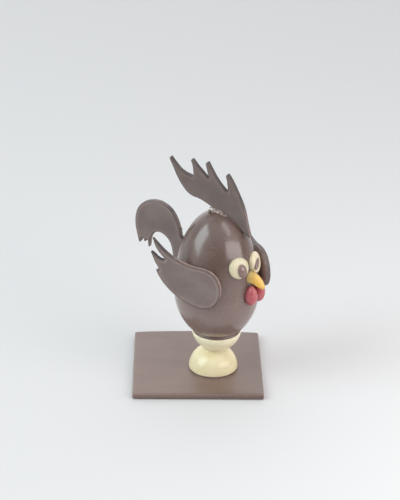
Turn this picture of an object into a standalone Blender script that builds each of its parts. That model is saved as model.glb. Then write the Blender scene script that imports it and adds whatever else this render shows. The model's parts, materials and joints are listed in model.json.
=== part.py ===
"""Chocolate cockerel: an egg-shaped bird on an egg-cup foot, standing on a poured plaque.

Metres, +Z up.  The origin is the centre of the plaque's underside.  The plaque's sides
run along X and Y.  The bird faces HEADING, turned from +X towards its front right.

Every piece of the bird is placed from the centre of the egg at its widest ring: a TURN
is an angle round the egg from the bird's heading, positive towards its left, and a
HEIGHT is measured up or down from that ring.
"""

import math

import bmesh
import bpy

MM = 0.001
GAP = 0.3 * MM                      # clearance left between neighbouring pieces

# Plaque
PLAQUE_SIDE = 100.0 * MM
PLAQUE_THICKNESS = 4.5 * MM
PLAQUE_CORNER = 1.5 * MM            # radius of the corners in plan
PLAQUE_BOW = 2.4 * MM               # how far the back edge bows outwards
PLAQUE_EDGE = 0.8 * MM              # softened rim

# Foot: a dome below and a cup above, meeting in a waist
FOOT_X = 12.1 * MM
FOOT_Y = -6.2 * MM
FOOT_RADIUS = 19.1 * MM
DOME_RISE = 18.6 * MM               # height the dome would have if it were not cut off
DOME_POWER = 2.06                   # 2 is an ellipse, less is nearer to a cone
WAIST_HEIGHT = 17.3 * MM            # above the plaque
WAIST_BLEND = 4.0 * MM              # how softly the dome runs into the cup
CUP_SHIFT = 2.1 * MM                # the cup stands off the dome's centre by this much
CUP_DEPTH = 17.8 * MM               # depth the bowl would have if it were not cut off
CUP_POWER = 1.8
RIM_HEIGHT = 32.8 * MM              # above the plaque
BEAD_HEIGHT = 3.6 * MM              # dark bead that bonds the egg to the rim
BEAD_INSET = 0.8 * MM               # from the rim's outer edge
BEAD_BULGE = 0.9 * MM
BEAD_INNER = 14.4 * MM              # where the bead's blank ends inside, before the egg's seat

# Egg
EGG_X = 13.6 * MM
EGG_Y = -6.2 * MM
EGG_WIDEST = 68.5 * MM              # height of the widest ring above the plaque
EGG_RADIUS = 32.6 * MM
EGG_ABOVE = 64.3 * MM               # from the widest ring to the top
EGG_BELOW = 40.8 * MM               # from the widest ring to the bottom
EGG_LEAN = math.radians(-1.0)
HEADING = math.radians(-36.0)

# Comb, tail and wings, cut from poured sheets
SHEET_EDGE = 0.45 * MM              # chamfer along the rims
COMB_THICKNESS = 4.2 * MM
COMB_TURN = math.radians(16.0)
COMB_OFFSET = 1.3 * MM              # towards the bird's right
TAIL_THICKNESS = 4.0 * MM
TAIL_TURN = math.radians(6.0)
WING_HEIGHT = 13.5 * MM             # where the wing touches the egg
RIGHT_WING_TURN = math.radians(-76.0)
RIGHT_WING_TILT = math.radians(6.0)     # its lower rim stands out further than its upper
RIGHT_WING_THICKNESS = 4.0 * MM
RIGHT_WING_SEAT = 1.1 * MM          # depth of the shallow seat where it is bonded
LEFT_WING_TURN = math.radians(57.0)
LEFT_WING_TILT = math.radians(2.0)
LEFT_WING_THICKNESS = 4.6 * MM
LEFT_WING_SEAT = 0.8 * MM
LEFT_WING_FORWARD = 4.6 * MM
LEFT_WING_RAISE = 1.0 * MM
LEFT_WING_PITCH = math.radians(7.0)     # its front end is turned upwards

# Eyes and pupils
EYE_RADIUS = 8.2 * MM
EYE_RISE = 3.0 * MM                 # at the middle, above the egg
EYE_RIM = 1.4 * MM                  # height of the eye's rounded rim
EYE_DEPTH = 3.0 * MM                # how far the blank reaches in before it is seated
# side, turn and height of the eye, then its pupil: the place from the eye's middle (in
# towards the beak, down), the slant (the tops of the two lean away from each other) and
# the half length, half width and rise
RIGHT_EYE = ("right", -1, math.radians(-22.5), 28.6 * MM,
             (0.9 * MM, 2.0 * MM, math.radians(10.0)), (5.4 * MM, 3.8 * MM, 2.2 * MM))
LEFT_EYE = ("left", 1, math.radians(15.5), 26.8 * MM,
            (3.5 * MM, 0.15 * MM, math.radians(58.0)), (5.4 * MM, 2.4 * MM, 1.2 * MM))

# Beak: (forward, up, radius) along its middle line, in millimetres.  Its underside is
# flattened, but less and less from BEAK_HOOK to the tip, which makes the hook.
BEAK_UNDERSIDE = 0.6
BEAK_HOOK = 35.0
BEAK_LINE = ((22.0, 19.2, 4.2), (29.0, 17.3, 5.8), (34.2, 16.6, 4.8), (38.4, 14.6, 3.6),
             (42.7, 12.1, 1.7))

# Wattles
WATTLE_HALF_WIDTH = 5.0 * MM
WATTLE_HALF_DEPTH = 4.9 * MM
WATTLE_REACH = 34.7 * MM            # from the egg's axis to the wattle's middle
WATTLE_TAPER = 0.28                 # how much narrower the top is than the bottom
# side, turn and height of the wattle's middle, half its height
RIGHT_WATTLE = ("right", math.radians(-7.6), 5.4 * MM, 8.1 * MM)
LEFT_WATTLE = ("left", math.radians(10.4), 4.6 * MM, 8.2 * MM)

# Facets
ROUND_STEPS = 40
ARC_STEPS = 7                       # along the curved part of a turned profile
FOOT_STEPS = 9                      # along the dome's side, and along the cup's
BOW_STATIONS = (0.8, 0.6, 0.4, 0.2, 0.0, -0.2, -0.4, -0.6, -0.8)
EGG_ROWS = 15                       # on each side of the widest ring
SHEET_RESOLUTION = 3

# Outlines of the sheets, in millimetres.  The comb and the tail are drawn from the egg's
# centre, x forward and y up; a wing is drawn from the point where it touches the egg.
# A name after the two numbers marks a sharp corner; the line is smooth elsewhere.
CORNER = "corner"
COMB_OUTLINE = (
    (-6.0, 68.4), (-13.5, 72.3), (-21.5, 74.8), (-26.7, 79.7), (-32.3, 88.5), (-35.7, 96.1),
    (-38.5, 101.9, CORNER), (-36.9, 103.3, CORNER), (-33.2, 98.6), (-27.8, 93.2),
    (-19.3, 89.8, CORNER),
    (-19.9, 97.4), (-21.6, 102.7, CORNER), (-19.8, 103.7, CORNER), (-15.9, 98.8),
    (-6.8, 89.5, CORNER),
    (-8.7, 96.0), (-10.1, 101.5, CORNER), (-7.7, 103.1, CORNER), (-4.0, 96.2), (1.0, 88.4),
    (7.6, 81.0, CORNER),
    (7.2, 87.5), (5.8, 94.2, CORNER), (7.7, 95.7, CORNER), (11.8, 89.5), (16.7, 79.6),
    (21.0, 69.6), (23.7, 58.5), (25.7, 50.6), (26.6, 47.2, CORNER), (25.4, 46.8, CORNER),
    (21.2, 49.9), (17.5, 52.8, CORNER), (15.0, 50.0, CORNER), (6.0, 56.0, CORNER),
    (2.0, 63.0, CORNER),
)
TAIL_OUTLINE = (
    (-29.9, 34.8), (-31.5, 41.4, CORNER), (-32.4, 42.6, CORNER), (-33.8, 46.8),
    (-37.5, 53.3), (-41.3, 57.1), (-46.1, 59.6), (-51.6, 60.7), (-57.7, 60.0),
    (-63.5, 57.5), (-67.8, 53.6), (-70.7, 47.8), (-71.7, 38.1), (-70.3, 30.0),
    (-68.3, 22.4, CORNER), (-67.1, 22.2, CORNER), (-64.8, 27.4, CORNER),
    (-63.6, 23.7, CORNER), (-62.4, 23.7, CORNER), (-60.8, 27.0, CORNER),
    (-59.9, 20.2, CORNER), (-58.7, 20.1, CORNER), (-57.7, 27.8), (-55.4, 32.2),
    (-51.8, 34.7), (-48.2, 34.5), (-44.7, 32.8), (-41.6, 29.8), (-39.4, 25.2),
    (-38.2, 19.5), (-35.5, 12.5), (-28.0, 8.5, CORNER), (-22.0, 20.0, CORNER),
    (-22.0, 34.0, CORNER),
)
WING_OUTLINE = (
    (15.4, 1.4), (13.6, 8.2), (8.8, 13.9), (2.0, 16.4), (-9.2, 17.3), (-20.5, 20.7),
    (-28.7, 24.9), (-36.2, 30.9), (-40.6, 34.8, CORNER), (-39.8, 33.0, CORNER),
    (-37.0, 26.8), (-28.8, 18.4, CORNER), (-34.2, 19.3), (-38.6, 22.4),
    (-41.6, 24.0, CORNER), (-40.8, 22.4, CORNER), (-37.3, 15.4), (-33.4, 10.2, CORNER),
    (-36.6, 9.9, CORNER), (-34.2, 5.6), (-28.2, -1.5), (-19.9, -7.8), (-10.0, -12.3),
    (-0.5, -14.5), (7.4, -13.4), (13.2, -8.2),
)

# Colours, linear
DARK_CHOCOLATE = (0.140, 0.100, 0.088)
WHITE_CHOCOLATE = (0.740, 0.640, 0.400)
YELLOW_CHOCOLATE = (0.840, 0.520, 0.110)
RED_CHOCOLATE = (0.440, 0.076, 0.094)


def clear_scene():
    """Remove the objects that a new file starts with."""
    for obj in list(bpy.data.objects):
        bpy.data.objects.remove(obj, do_unlink=True)


def new_collection(name):
    """Make a collection under the scene's own."""
    collection = bpy.data.collections.new(name)
    bpy.context.scene.collection.children.link(collection)
    return collection


def add_object(name, data, collection, parent=None, location=(0, 0, 0), rotation=(0, 0, 0)):
    """Put data in the scene as an object, under a parent."""
    obj = bpy.data.objects.new(name, data)
    collection.objects.link(obj)
    obj.parent = parent
    obj.location = location
    obj.rotation_euler = rotation
    return obj


def paint(obj, colour, roughness):
    """Give an object its own chocolate."""
    material = bpy.data.materials.new(obj.name + "_chocolate")
    material.use_nodes = True
    shader = material.node_tree.nodes["Principled BSDF"]
    shader.inputs["Base Color"].default_value = (*colour, 1.0)
    shader.inputs["Roughness"].default_value = roughness
    shader.inputs["Metallic"].default_value = 0.0
    obj.data.materials.append(material)


def smooth(obj):
    """Shade a round piece smooth, but not across its real edges."""
    obj.data.shade_smooth()
    obj.data.set_sharp_from_angle(angle=math.radians(40.0))


def as_cutter(obj):
    """Keep an object out of the part and show it as wires."""
    obj.hide_render = True
    obj.display_type = "WIRE"
    return obj


def cut(obj, cutter):
    """Take a cutter's shape out of an object."""
    modifier = obj.modifiers.new("seat_" + cutter.name, "BOOLEAN")
    modifier.operation = "DIFFERENCE"
    modifier.solver = "EXACT"
    modifier.object = cutter


def turned(name, profile, collection, **place):
    """Turn a profile of (radius, height) points, listed from top to bottom, round Z."""
    mesh = bpy.data.meshes.new(name)
    points = [(radius, 0.0, height) for radius, height in profile]
    edges = [(i, i + 1) for i in range(len(points) - 1)]
    mesh.from_pydata(points, edges, [])
    obj = add_object(name, mesh, collection, **place)
    screw = obj.modifiers.new("turn", "SCREW")
    screw.angle = math.tau
    screw.steps = ROUND_STEPS
    screw.render_steps = ROUND_STEPS
    screw.use_merge_vertices = True
    screw.merge_threshold = 0.00001
    screw.use_smooth_shade = True
    return obj


def curve_to_mesh(curve_object, collection, **place):
    """Replace a curve by a closed mesh of the same name at its final place."""
    name = curve_object.name
    curve_object.name = name + "_curve"
    depsgraph = bpy.context.evaluated_depsgraph_get()
    mesh = bpy.data.meshes.new_from_object(curve_object.evaluated_get(depsgraph))
    bpy.data.objects.remove(curve_object, do_unlink=True)
    shape = bmesh.new()
    shape.from_mesh(mesh)
    bmesh.ops.remove_doubles(shape, verts=shape.verts, dist=0.00001)
    bmesh.ops.dissolve_limit(shape, angle_limit=math.radians(0.5), verts=shape.verts,
                             edges=shape.edges)
    bmesh.ops.recalc_face_normals(shape, faces=shape.faces)
    shape.to_mesh(mesh)
    shape.free()
    return add_object(name, mesh, collection, **place)


def sheet(name, outline, thickness, collection, edge=SHEET_EDGE, **place):
    """Cut a sheet of chocolate to an outline in millimetres, in its own XY plane."""
    curve = bpy.data.curves.new(name, "CURVE")
    curve.dimensions = "2D"
    curve.fill_mode = "BOTH"
    curve.extrude = thickness / 2.0
    curve.resolution_u = SHEET_RESOLUTION
    spline = curve.splines.new("BEZIER")
    spline.bezier_points.add(len(outline) - 1)
    for knot, (x, y, *mark) in zip(spline.bezier_points, outline):
        knot.co = (x * MM, y * MM, 0.0)
        kind = "VECTOR" if CORNER in mark else "AUTO"
        knot.handle_left_type = kind
        knot.handle_right_type = kind
    spline.use_cyclic_u = True
    flat = add_object(name, curve, collection)
    obj = curve_to_mesh(flat, collection, **place)
    bevel = obj.modifiers.new("rim", "BEVEL")
    bevel.width = edge
    bevel.segments = 1
    bevel.limit_method = "ANGLE"
    bevel.angle_limit = math.radians(60.0)
    return obj


def arc(centre, radii, start, end, steps):
    """Points on an ellipse's arc, the angles in radians from the first axis."""
    angles = [start + (end - start) * i / steps for i in range(steps + 1)]
    return [(centre[0] + radii[0] * math.cos(a), centre[1] + radii[1] * math.sin(a))
            for a in angles]


def egg_radius(height):
    """The egg's radius at a height above or below its widest ring."""
    reach = EGG_ABOVE if height > 0 else EGG_BELOW
    return EGG_RADIUS * math.sqrt(1.0 - (height / reach) ** 2)


def egg_slope(height):
    """How far the egg's surface faces upwards at a height, as an angle."""
    reach = EGG_ABOVE if height > 0 else EGG_BELOW
    return math.atan2(height / reach ** 2, egg_radius(height) / EGG_RADIUS ** 2)


def egg_profile(skin):
    """The egg's outline from top to bottom, grown by a skin."""
    quarter = math.pi / 2.0
    upper = arc((0, 0), (EGG_RADIUS + skin, EGG_ABOVE + skin), quarter, 0.0, EGG_ROWS)
    lower = arc((0, 0), (EGG_RADIUS + skin, EGG_BELOW + skin), 0.0, -quarter, EGG_ROWS)
    outline = upper + lower[1:]
    outline[0] = (0.0, outline[0][1])
    outline[-1] = (0.0, outline[-1][1])
    return outline


def on_egg(turn, height):
    """Where a piece on the egg sits, and the turns that point its Z outwards."""
    radius = egg_radius(height)
    location = (radius * math.cos(turn), radius * math.sin(turn), height)
    rotation = (0.0, math.pi / 2.0 - egg_slope(height), turn)
    return location, rotation


def build_plaque(part):
    """The poured plaque under the bird, its back edge bowed outwards."""
    half = PLAQUE_SIDE / 2.0 / MM
    corner = PLAQUE_CORNER / MM
    bow = PLAQUE_BOW / MM
    outline = []
    for quadrant, (sx, sy) in enumerate(((1, 1), (-1, 1), (-1, -1), (1, -1))):
        centre = (sx * (half - corner), sy * (half - corner))
        start = quadrant * math.pi / 2.0
        outline += arc(centre, (corner, corner), start, start + math.pi / 2.0, 3)
        if quadrant == 0:
            outline += [(half * x, half + bow * (1.0 - x * x)) for x in BOW_STATIONS]
    outline = [(x, y, CORNER) for x, y in outline]
    obj = sheet("plaque", outline, PLAQUE_THICKNESS, part, edge=PLAQUE_EDGE,
                location=(0, 0, PLAQUE_THICKNESS / 2.0))
    paint(obj, DARK_CHOCOLATE, 0.4)


def bowl_radius(depth, reach, power):
    """A bowl's radius at a depth below its rim."""
    return FOOT_RADIUS * max(0.0, 1.0 - (depth / reach) ** power) ** (1.0 / power)


def foot_radius(height):
    """The foot's radius at a height above the plaque, the dome blended into the cup."""
    dome = bowl_radius(height, DOME_RISE, DOME_POWER)
    cup = bowl_radius(RIM_HEIGHT - height, CUP_DEPTH, CUP_POWER)
    near = max(0.0, WAIST_BLEND - abs(dome - cup))
    return max(dome, cup) + near ** 2 / (4.0 * WAIST_BLEND)


def foot_profile(top, bottom):
    """The foot's outline from a height down to another, closer spaced at the waist."""
    shares = [i / FOOT_STEPS for i in range(FOOT_STEPS + 1)]
    if top < RIM_HEIGHT:
        shares = [share ** 1.6 for share in shares]
    else:
        shares = [1.0 - (1.0 - share) ** 1.6 for share in shares]
    heights = [top + (bottom - top) * share for share in shares]
    outline = [(foot_radius(height), height - bottom) for height in heights]
    return [(0.0, top - bottom), *outline, (0.0, 0.0)]


def build_foot(part, egg_space):
    """The dome, the cup that the egg sits in, and the bead that bonds them."""
    dome = turned("foot_dome", foot_profile(WAIST_HEIGHT - GAP, 0.0), part,
                  location=(FOOT_X, FOOT_Y, PLAQUE_THICKNESS + GAP))
    paint(dome, WHITE_CHOCOLATE, 0.35)

    cup_place = (FOOT_X + CUP_SHIFT, FOOT_Y, PLAQUE_THICKNESS + WAIST_HEIGHT + GAP)
    cup = turned("foot_cup", foot_profile(RIM_HEIGHT, WAIST_HEIGHT + GAP), part,
                 location=cup_place)
    cut(cup, egg_space)
    paint(cup, WHITE_CHOCOLATE, 0.35)

    middle = (FOOT_RADIUS - BEAD_INSET, BEAD_HEIGHT / 2.0)
    bead_profile = [(BEAD_INNER, BEAD_HEIGHT)]
    bead_profile += arc(middle, (BEAD_BULGE, BEAD_HEIGHT / 2.0), math.pi / 2.0,
                        -math.pi / 2.0, ARC_STEPS)
    bead_profile += [(BEAD_INNER, 0.0), (BEAD_INNER, BEAD_HEIGHT)]
    bead_place = (FOOT_X + CUP_SHIFT, FOOT_Y, PLAQUE_THICKNESS + RIM_HEIGHT + GAP)
    bead = turned("neck_bead", bead_profile, part, location=bead_place)
    cut(bead, egg_space)
    paint(bead, DARK_CHOCOLATE, 0.3)


def build_comb(part, bird, egg_space):
    """The four-pointed comb along the top of the egg."""
    offset = (COMB_OFFSET * math.sin(COMB_TURN), -COMB_OFFSET * math.cos(COMB_TURN), 0.0)
    comb = sheet("comb", COMB_OUTLINE, COMB_THICKNESS, part, parent=bird, location=offset,
                 rotation=(math.pi / 2.0, 0.0, COMB_TURN))
    cut(comb, egg_space)
    paint(comb, DARK_CHOCOLATE, 0.42)


def build_tail(part, bird, egg_space):
    """The sickle tail behind the egg, its feathers pointing down."""
    tail = sheet("tail", TAIL_OUTLINE, TAIL_THICKNESS, part, parent=bird,
                 rotation=(math.pi / 2.0, 0.0, TAIL_TURN))
    cut(tail, egg_space)
    paint(tail, DARK_CHOCOLATE, 0.42)


def pitched(outline, angle):
    """An outline turned in its own plane, the marks of its corners kept."""
    cosine, sine = math.cos(angle), math.sin(angle)
    return [(x * cosine - y * sine, x * sine + y * cosine, *mark) for x, y, *mark in outline]


def build_wing(name, part, bird, egg_space, side, turn, tilt, thickness, seat, forward=0.0,
               raised=0.0, pitch=0.0):
    """A wing laid against one side of the egg: side is -1 on the right, 1 on the left."""
    reach = egg_radius(WING_HEIGHT) + GAP - seat + thickness / 2.0
    heading = turn - side * math.pi / 2.0
    location = (reach * math.cos(turn) + forward * math.cos(heading),
                reach * math.sin(turn) + forward * math.sin(heading),
                WING_HEIGHT + raised)
    wing = sheet(name, pitched(WING_OUTLINE, pitch), thickness, part, parent=bird,
                 location=location, rotation=(math.pi / 2.0 + side * tilt, 0.0, heading))
    cut(wing, egg_space)
    paint(wing, DARK_CHOCOLATE, 0.42)


def eye_profile(skin):
    """A domed button's outline from its middle to its rim and round the back."""
    radius = EYE_RADIUS + skin
    dome = arc((0, EYE_RIM), (radius, EYE_RISE - EYE_RIM + skin), math.pi / 2.0, 0.0,
               ARC_STEPS)
    dome[0] = (0.0, dome[0][1])
    return dome + [(radius, -EYE_DEPTH), (0.0, -EYE_DEPTH)]


def build_eye(eye_place, part, cutters, bird, spaces):
    """An eye and its pupil: side is -1 on the right, 1 on the left."""
    side_name, side, turn, height, pupil_place, pupil_size = eye_place
    pupil_in, pupil_down, pupil_slant = pupil_place
    half_length, half_width, rise = pupil_size
    location, rotation = on_egg(turn, height)
    place = {"parent": bird, "location": location, "rotation": rotation}
    eye = turned("eye_" + side_name, eye_profile(0.0), part, **place)
    for space in spaces:
        cut(eye, space)
    paint(eye, WHITE_CHOCOLATE, 0.4)
    eye_space = as_cutter(turned("eye_space_" + side_name, eye_profile(GAP), cutters, **place))

    mesh = bpy.data.meshes.new("pupil_" + side_name)
    drop = bmesh.new()
    bmesh.ops.create_uvsphere(drop, u_segments=20, v_segments=10, radius=1.0)
    slant = -side * pupil_slant
    for vert in drop.verts:
        x = vert.co.x * half_length
        y = vert.co.y * half_width
        vert.co = (x * math.cos(slant) - y * math.sin(slant) + pupil_down,
                   x * math.sin(slant) + y * math.cos(slant) - side * pupil_in,
                   vert.co.z * rise + EYE_RISE)
    drop.to_mesh(mesh)
    drop.free()
    pupil = add_object("pupil_" + side_name, mesh, part, **place)
    for space in (*spaces, eye_space):
        cut(pupil, space)
    smooth(pupil)
    paint(pupil, DARK_CHOCOLATE, 0.3)


def beak_middle(forward):
    """Height of the beak's middle line, both in metres."""
    for (x0, z0, _), (x1, z1, _) in zip(BEAK_LINE, BEAK_LINE[1:]):
        if forward <= x1 * MM:
            share = max(0.0, (forward / MM - x0) / (x1 - x0))
            return (z0 + (z1 - z0) * share) * MM
    return BEAK_LINE[-1][1] * MM


def beak_tube(name, collection, bird, skin):
    """A tapering tube along the beak's middle line, grown by a skin."""
    curve = bpy.data.curves.new(name, "CURVE")
    curve.dimensions = "3D"
    curve.bevel_depth = MM
    curve.bevel_resolution = 6
    curve.resolution_u = 4
    curve.use_fill_caps = True
    spline = curve.splines.new("BEZIER")
    spline.bezier_points.add(len(BEAK_LINE) - 1)
    for knot, (forward, up, radius) in zip(spline.bezier_points, BEAK_LINE):
        knot.co = (forward * MM, 0.0, up * MM)
        knot.radius = radius + skin / MM
        knot.handle_left_type = "AUTO"
        knot.handle_right_type = "AUTO"
    flat = add_object(name, curve, collection)
    tube = curve_to_mesh(flat, collection, parent=bird)
    for vert in tube.data.vertices:
        middle = beak_middle(vert.co.x)
        hook = max(0.0, (vert.co.x / MM - BEAK_HOOK) / (BEAK_LINE[-1][0] - BEAK_HOOK))
        squash = BEAK_UNDERSIDE + (1.0 - BEAK_UNDERSIDE) * min(hook, 1.0)
        if vert.co.z < middle:
            vert.co.z = middle + (vert.co.z - middle) * squash - skin * (1.0 - squash)
    return tube


def build_beak(part, bird, egg_space):
    """The hooked beak."""
    beak = beak_tube("beak", part, bird, 0.0)
    cut(beak, egg_space)
    smooth(beak)
    paint(beak, YELLOW_CHOCOLATE, 0.35)


def build_wattle(wattle_place, part, bird, spaces):
    """One of the two red drops under the beak."""
    side_name, turn, height, half_height = wattle_place
    mesh = bpy.data.meshes.new("wattle_" + side_name)
    drop = bmesh.new()
    bmesh.ops.create_uvsphere(drop, u_segments=20, v_segments=14, radius=1.0)
    for vert in drop.verts:
        width = WATTLE_HALF_WIDTH * (1.0 - WATTLE_TAPER * max(vert.co.z, 0.0))
        vert.co = (vert.co.x * WATTLE_HALF_DEPTH, vert.co.y * width, vert.co.z * half_height)
    drop.to_mesh(mesh)
    drop.free()
    location = (WATTLE_REACH * math.cos(turn), WATTLE_REACH * math.sin(turn), height)
    wattle = add_object("wattle_" + side_name, mesh, part, parent=bird, location=location,
                        rotation=(0.0, 0.0, turn))
    for space in spaces:
        cut(wattle, space)
    smooth(wattle)
    paint(wattle, RED_CHOCOLATE, 0.3)


def main():
    """Build the plaque, the foot, the egg and everything on it."""
    clear_scene()
    part = new_collection("chocolate_cockerel")
    cutters = new_collection("cutters")

    egg_centre = (EGG_X, EGG_Y, PLAQUE_THICKNESS + EGG_WIDEST)
    upright = {"location": egg_centre, "rotation": (0.0, EGG_LEAN, 0.0)}
    bird = add_object("bird", None, part, location=egg_centre, rotation=(0.0, 0.0, HEADING))
    egg_space = as_cutter(turned("egg_space", egg_profile(GAP), cutters, **upright))
    beak_space = as_cutter(beak_tube("beak_space", cutters, bird, GAP))

    build_plaque(part)
    build_foot(part, egg_space)
    body = turned("body", egg_profile(0.0), part, **upright)
    paint(body, DARK_CHOCOLATE, 0.25)
    build_comb(part, bird, egg_space)
    build_tail(part, bird, egg_space)
    build_wing("wing_right", part, bird, egg_space, -1, RIGHT_WING_TURN, RIGHT_WING_TILT,
               RIGHT_WING_THICKNESS, RIGHT_WING_SEAT)
    build_wing("wing_left", part, bird, egg_space, 1, LEFT_WING_TURN, LEFT_WING_TILT,
               LEFT_WING_THICKNESS, LEFT_WING_SEAT, forward=LEFT_WING_FORWARD,
               raised=LEFT_WING_RAISE, pitch=LEFT_WING_PITCH)
    spaces = (egg_space, beak_space)
    build_eye(RIGHT_EYE, part, cutters, bird, spaces)
    build_eye(LEFT_EYE, part, cutters, bird, spaces)
    build_beak(part, bird, egg_space)
    build_wattle(RIGHT_WATTLE, part, bird, spaces)
    build_wattle(LEFT_WATTLE, part, bird, spaces)


main()
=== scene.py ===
"""Looks of the chocolate cockerel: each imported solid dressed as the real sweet.

Every length is in metres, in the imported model's own frame.  The origin is the centre of the
plaque's underside, X and Y run along the plaque's sides and Z points up.  The bird stands a
little off the plaque's middle and faces the front right.
"""

from __future__ import annotations

import json
import logging
import math
from dataclasses import dataclass
from enum import Enum
from typing import Callable, Iterable, Mapping, Protocol, Sequence, Union

import bmesh
import bpy
from mathutils import Matrix, Vector, kdtree, noise

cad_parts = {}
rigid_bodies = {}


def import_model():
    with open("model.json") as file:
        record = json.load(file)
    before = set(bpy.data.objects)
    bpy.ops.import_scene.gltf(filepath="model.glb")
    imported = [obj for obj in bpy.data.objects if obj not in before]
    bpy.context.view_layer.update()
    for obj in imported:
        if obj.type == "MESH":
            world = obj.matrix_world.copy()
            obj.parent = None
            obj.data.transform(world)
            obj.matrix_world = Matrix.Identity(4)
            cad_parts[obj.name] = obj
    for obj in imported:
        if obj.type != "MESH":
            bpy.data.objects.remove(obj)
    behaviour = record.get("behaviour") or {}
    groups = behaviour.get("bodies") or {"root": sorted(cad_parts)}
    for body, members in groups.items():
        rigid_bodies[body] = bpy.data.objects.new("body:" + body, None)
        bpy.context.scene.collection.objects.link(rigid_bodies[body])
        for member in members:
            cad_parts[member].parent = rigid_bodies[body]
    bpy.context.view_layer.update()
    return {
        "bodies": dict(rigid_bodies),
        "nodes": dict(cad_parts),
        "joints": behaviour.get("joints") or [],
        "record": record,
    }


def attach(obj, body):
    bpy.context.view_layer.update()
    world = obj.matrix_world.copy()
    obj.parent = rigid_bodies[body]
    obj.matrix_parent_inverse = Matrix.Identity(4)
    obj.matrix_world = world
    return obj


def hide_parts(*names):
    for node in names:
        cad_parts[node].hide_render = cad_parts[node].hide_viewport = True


LOG = logging.getLogger("cockerel")
MM = 0.001
BODY = "root"

Colour = tuple[float, float, float]
Point = tuple[float, float, float]
Span = tuple[float, float]
Value = Union["Socket", float, int, bool, tuple, bpy.types.Material]


class Slot(Enum):
    """The record's material slots."""

    PLAQUE = "dark_plaque"
    EGG = "dark_egg"
    SHEET = "dark_sheet"
    DROP = "dark_drop"
    IVORY = "ivory"
    YELLOW = "yellow"
    RED = "red"


class Side(Enum):
    """The bird's own right and left."""

    RIGHT = -1
    LEFT = 1

    @property
    def word(self) -> str:
        """The side as it stands in a node's name."""
        return self.name.lower()


class Face(Enum):
    """Which face of a sheet lay upwards when it was poured, along its own Z."""

    UPPER = 1
    LOWER = -1


# --------------------------------------------------------------------------------------------
# Node trees written as expressions


class Socket:
    """One output of a node.  Arithmetic on it adds Math nodes to its tree."""

    def __init__(self, graph: Graph, output: bpy.types.NodeSocket) -> None:
        """Wrap an output.

        Args:
            graph: the graph that the output's node belongs to.
            output: the output itself.
        """
        self.graph = graph
        self.output = output

    def other(self, name: str) -> Socket:
        """Another output of the same node, by its name."""
        return Socket(self.graph, self.output.node.outputs[name])

    def _math(self, operation: str, first: Value, second: Value) -> Socket:
        """Join two values by a Math node."""
        return self.graph.node("ShaderNodeMath", {"operation": operation}, {0: first, 1: second})

    def __add__(self, other: Value) -> Socket:
        """self + other."""
        return self._math("ADD", self, other)

    def __radd__(self, other: Value) -> Socket:
        """other + self."""
        return self._math("ADD", other, self)

    def __sub__(self, other: Value) -> Socket:
        """self - other."""
        return self._math("SUBTRACT", self, other)

    def __rsub__(self, other: Value) -> Socket:
        """other - self."""
        return self._math("SUBTRACT", other, self)

    def __mul__(self, other: Value) -> Socket:
        """self * other."""
        return self._math("MULTIPLY", self, other)

    def __rmul__(self, other: Value) -> Socket:
        """other * self."""
        return self._math("MULTIPLY", other, self)

    def __truediv__(self, other: Value) -> Socket:
        """self / other."""
        return self._math("DIVIDE", self, other)

    def __pow__(self, other: Value) -> Socket:
        """self to the power other."""
        return self._math("POWER", self, other)

    def __gt__(self, other: Value) -> Socket:
        """1 where self is greater than other, else 0."""
        return self._math("GREATER_THAN", self, other)

    def at_least(self, floor: Value) -> Socket:
        """The greater of self and floor."""
        return self._math("MAXIMUM", self, floor)


class Graph:
    """A node tree that is built by calls."""

    def __init__(self, tree: bpy.types.NodeTree) -> None:
        """Take over a node tree.

        Args:
            tree: a shader or Geometry Nodes tree.
        """
        self.tree = tree

    def node(self, kind: str, settings: Mapping[str, object] | None = None,
             values: Mapping[str | int, Value] | None = None) -> Socket:
        """Add a node, set it up and connect it.

        Args:
            kind: Blender's name of the node's type.
            settings: the node's own settings.
            values: numbers, colours or sockets for its inputs, by identifier, name or place.

        Returns:
            Its first output that is switched on.
        """
        made = self.tree.nodes.new(kind)
        for name, setting in (settings or {}).items():
            setattr(made, name, setting)
        for key, value in (values or {}).items():
            self.join(value, self._input(made, key))
        return Socket(self, next(socket for socket in made.outputs if socket.enabled))

    def join(self, value: Value, target: bpy.types.NodeSocket) -> None:
        """Link a socket to an input, or set the input to a constant.

        Args:
            value: the socket or the constant.
            target: the input.
        """
        if isinstance(value, Socket):
            self.tree.links.new(value.output, target)
        else:
            target.default_value = value

    @staticmethod
    def _input(made: bpy.types.Node, key: str | int) -> bpy.types.NodeSocket:
        """Find a node's input.

        Args:
            made: the node.
            key: the input's identifier, its name or its place.

        Returns:
            The input.
        """
        if isinstance(key, int):
            return made.inputs[key]
        named = (socket for socket in made.inputs if socket.identifier == key)
        return next(named, None) or made.inputs[key]

    def mix(self, factor: Value, first: Value, second: Value) -> Socket:
        """Blend two colours.

        Args:
            factor: 0 for the first colour, 1 for the second.
            first: a colour.
            second: a colour.

        Returns:
            The blended colour.
        """
        return self.node("ShaderNodeMix", {"data_type": "RGBA"},
                         {"Factor_Float": factor, "A_Color": first, "B_Color": second})

    def noise(self, where: Value, size: float, detail: float = 2.0, turn: Value = 0.0) -> Socket:
        """Soft noise, about 0.5 on average.

        Args:
            where: the position that it is read at.
            size: the size of its blobs, in metres.
            detail: how many finer layers it has.
            turn: which of the many noises it is.

        Returns:
            The noise as a number.
        """
        return self.node("ShaderNodeTexNoise", {"noise_dimensions": "4D"},
                         {"Vector": where, "W": turn, "Scale": 1.0 / size, "Detail": detail})

    def ramp(self, value: Socket, low: float, high: float) -> Socket:
        """Stretch a value so that low becomes 0 and high becomes 1, smoothly."""
        return self.node("ShaderNodeMapRange", {"interpolation_type": "SMOOTHSTEP"},
                         {"Value": value, "From Min": low, "From Max": high})

    def marked(self, name: str) -> Socket:
        """The number that is written on the mesh under a name."""
        return self.node("ShaderNodeAttribute", {"attribute_name": name}).other("Fac")


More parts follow.
